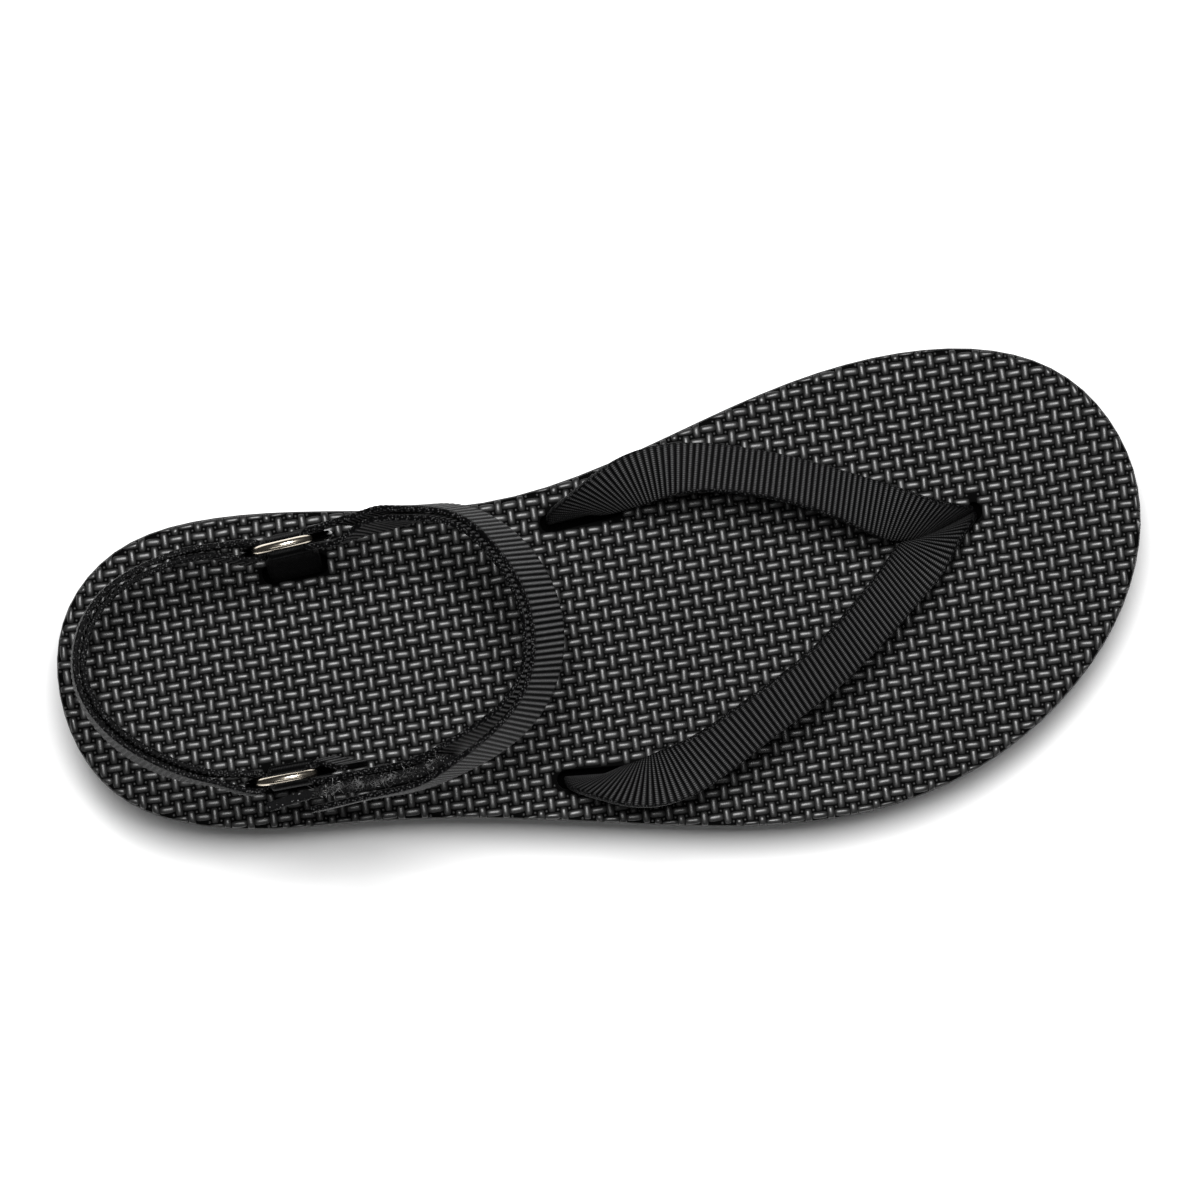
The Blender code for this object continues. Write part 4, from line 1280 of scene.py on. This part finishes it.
class SANDAL_OT_tape(bpy.types.Operator):
    """Make the hook-and-loop tape with its pull tab and loose fibres"""

    bl_idname = "sandal.tape"
    bl_label = "Make the closure tape"

    def execute(self, context):
        settings = context.scene.sandal_tape
        grid, thickness = tape_rows(all_rings(), TAPE_STEP)
        tape = add_webbing("tape_body", [band(grid, thickness, 0.0, 0.0)], pile_surface(settings))
        dress(tape, "closure_tape", "closure_tape")
        upper_edge = grid[grid[:, 0, 0] > FIBRE_START_X, -1]
        fibres = add_fibres("tape_fibres", upper_edge, settings, fibre_surface(settings.fibre))
        dress(fibres, "closure_tape")
        return {"FINISHED"}


class SANDAL_OT_rings(bpy.types.Operator):
    """Make both rings from polished wire"""

    bl_idname = "sandal.rings"
    bl_label = "Polish the rings"

    def execute(self, context):
        material = metal_surface(context.scene.sandal_rings)
        for ring in all_rings().values():
            dress(add_wire(ring, material), "ring_metal", f"ring_{ring.side}")
        return {"FINISHED"}


def add_light(name, power, width, depth, tilt, distance):
    """An area light at a distance from the shoe, tilted toward the picture's top."""
    light = bpy.data.lights.new(name, "AREA")
    light.energy = power
    light.shape = "RECTANGLE"
    light.size = width
    light.size_y = depth
    lamp = bpy.data.objects.new(name, light)
    turn = math.radians(tilt)
    x, y = PICTURE_UP * math.sin(turn) * distance
    lamp.location = (x, y, math.cos(turn) * distance)
    lamp.rotation_euler = (-turn, 0.0, math.radians(-PICTURE_TURN))
    lamp.visible_camera = False
    bpy.context.collection.objects.link(lamp)


class SANDAL_OT_stage(bpy.types.Operator):
    """Set the floor, the lights and the camera"""

    bl_idname = "sandal.stage"
    bl_label = "Set the stage"

    def execute(self, context):
        settings = context.scene.sandal_stage
        scene = context.scene
        reach = FLOOR_REACH
        corners = [(-reach, -reach, 0.0), (reach, -reach, 0.0), (reach, reach, 0.0), (-reach, reach, 0.0)]
        floor = mesh_object("floor", corners, [(0, 1, 2, 3)], floor_surface(settings.floor))
        add_light("key", settings.key_power, *KEY_LIGHT)
        add_light("strip", settings.strip_power, *STRIP_LIGHT)

        world = bpy.data.worlds.new("studio")
        world.use_nodes = True
        background = world.node_tree.nodes["Background"]
        background.inputs["Color"].default_value = (1.0, 1.0, 1.0, 1.0)
        background.inputs["Strength"].default_value = settings.fill
        scene.world = world
        scene.view_settings.view_transform = "Standard"

        lens = bpy.data.cameras.new("camera")
        lens.lens = settings.lens
        lens.sensor_width = SENSOR_WIDTH
        lens.clip_start = CLIP_START
        camera = bpy.data.objects.new("camera", lens)
        camera.location = [part * MM for part in CAMERA_PLACE]
        camera.rotation_euler = (0.0, 0.0, math.radians(-PICTURE_TURN))
        context.collection.objects.link(camera)
        scene.camera = camera
        return {"FINISHED"}


class SANDAL_PT_panel(bpy.types.Panel):
    """The sandal's settings and steps"""

    bl_label = "Sandal"
    bl_idname = "SANDAL_PT_panel"
    bl_space_type = "VIEW_3D"
    bl_region_type = "UI"
    bl_category = "Sandal"

    def draw(self, context):
        for name, (group, operator) in STEPS.items():
            box = self.layout.box()
            settings = getattr(context.scene, f"sandal_{name}")
            for key in group.__annotations__:
                box.prop(settings, key)
            box.operator(operator.bl_idname)


STEPS = {
    "sole": (SandalSoleSettings, SANDAL_OT_sole),
    "footbed": (SandalFootbedSettings, SANDAL_OT_footbed),
    "webbing": (SandalWebbingSettings, SANDAL_OT_webbing),
    "tape": (SandalTapeSettings, SANDAL_OT_tape),
    "rings": (SandalRingSettings, SANDAL_OT_rings),
    "stage": (SandalStageSettings, SANDAL_OT_stage),
}


def register():
    """Adds the settings, the operators and the panel."""
    for name, (group, operator) in STEPS.items():
        bpy.utils.register_class(group)
        bpy.utils.register_class(operator)
        setattr(bpy.types.Scene, f"sandal_{name}", PointerProperty(type=group))
    bpy.utils.register_class(SANDAL_PT_panel)


def unregister():
    """Takes them away again."""
    bpy.utils.unregister_class(SANDAL_PT_panel)
    for name, (group, operator) in STEPS.items():
        delattr(bpy.types.Scene, f"sandal_{name}")
        bpy.utils.unregister_class(operator)
        bpy.utils.unregister_class(group)


def main():
    """Dresses the part step by step."""
    register()
    bpy.ops.sandal.sole()
    bpy.ops.sandal.footbed()
    bpy.ops.sandal.webbing()
    bpy.ops.sandal.tape()
    bpy.ops.sandal.rings()
    bpy.ops.sandal.stage()


if __name__ == "__main__":
    main()
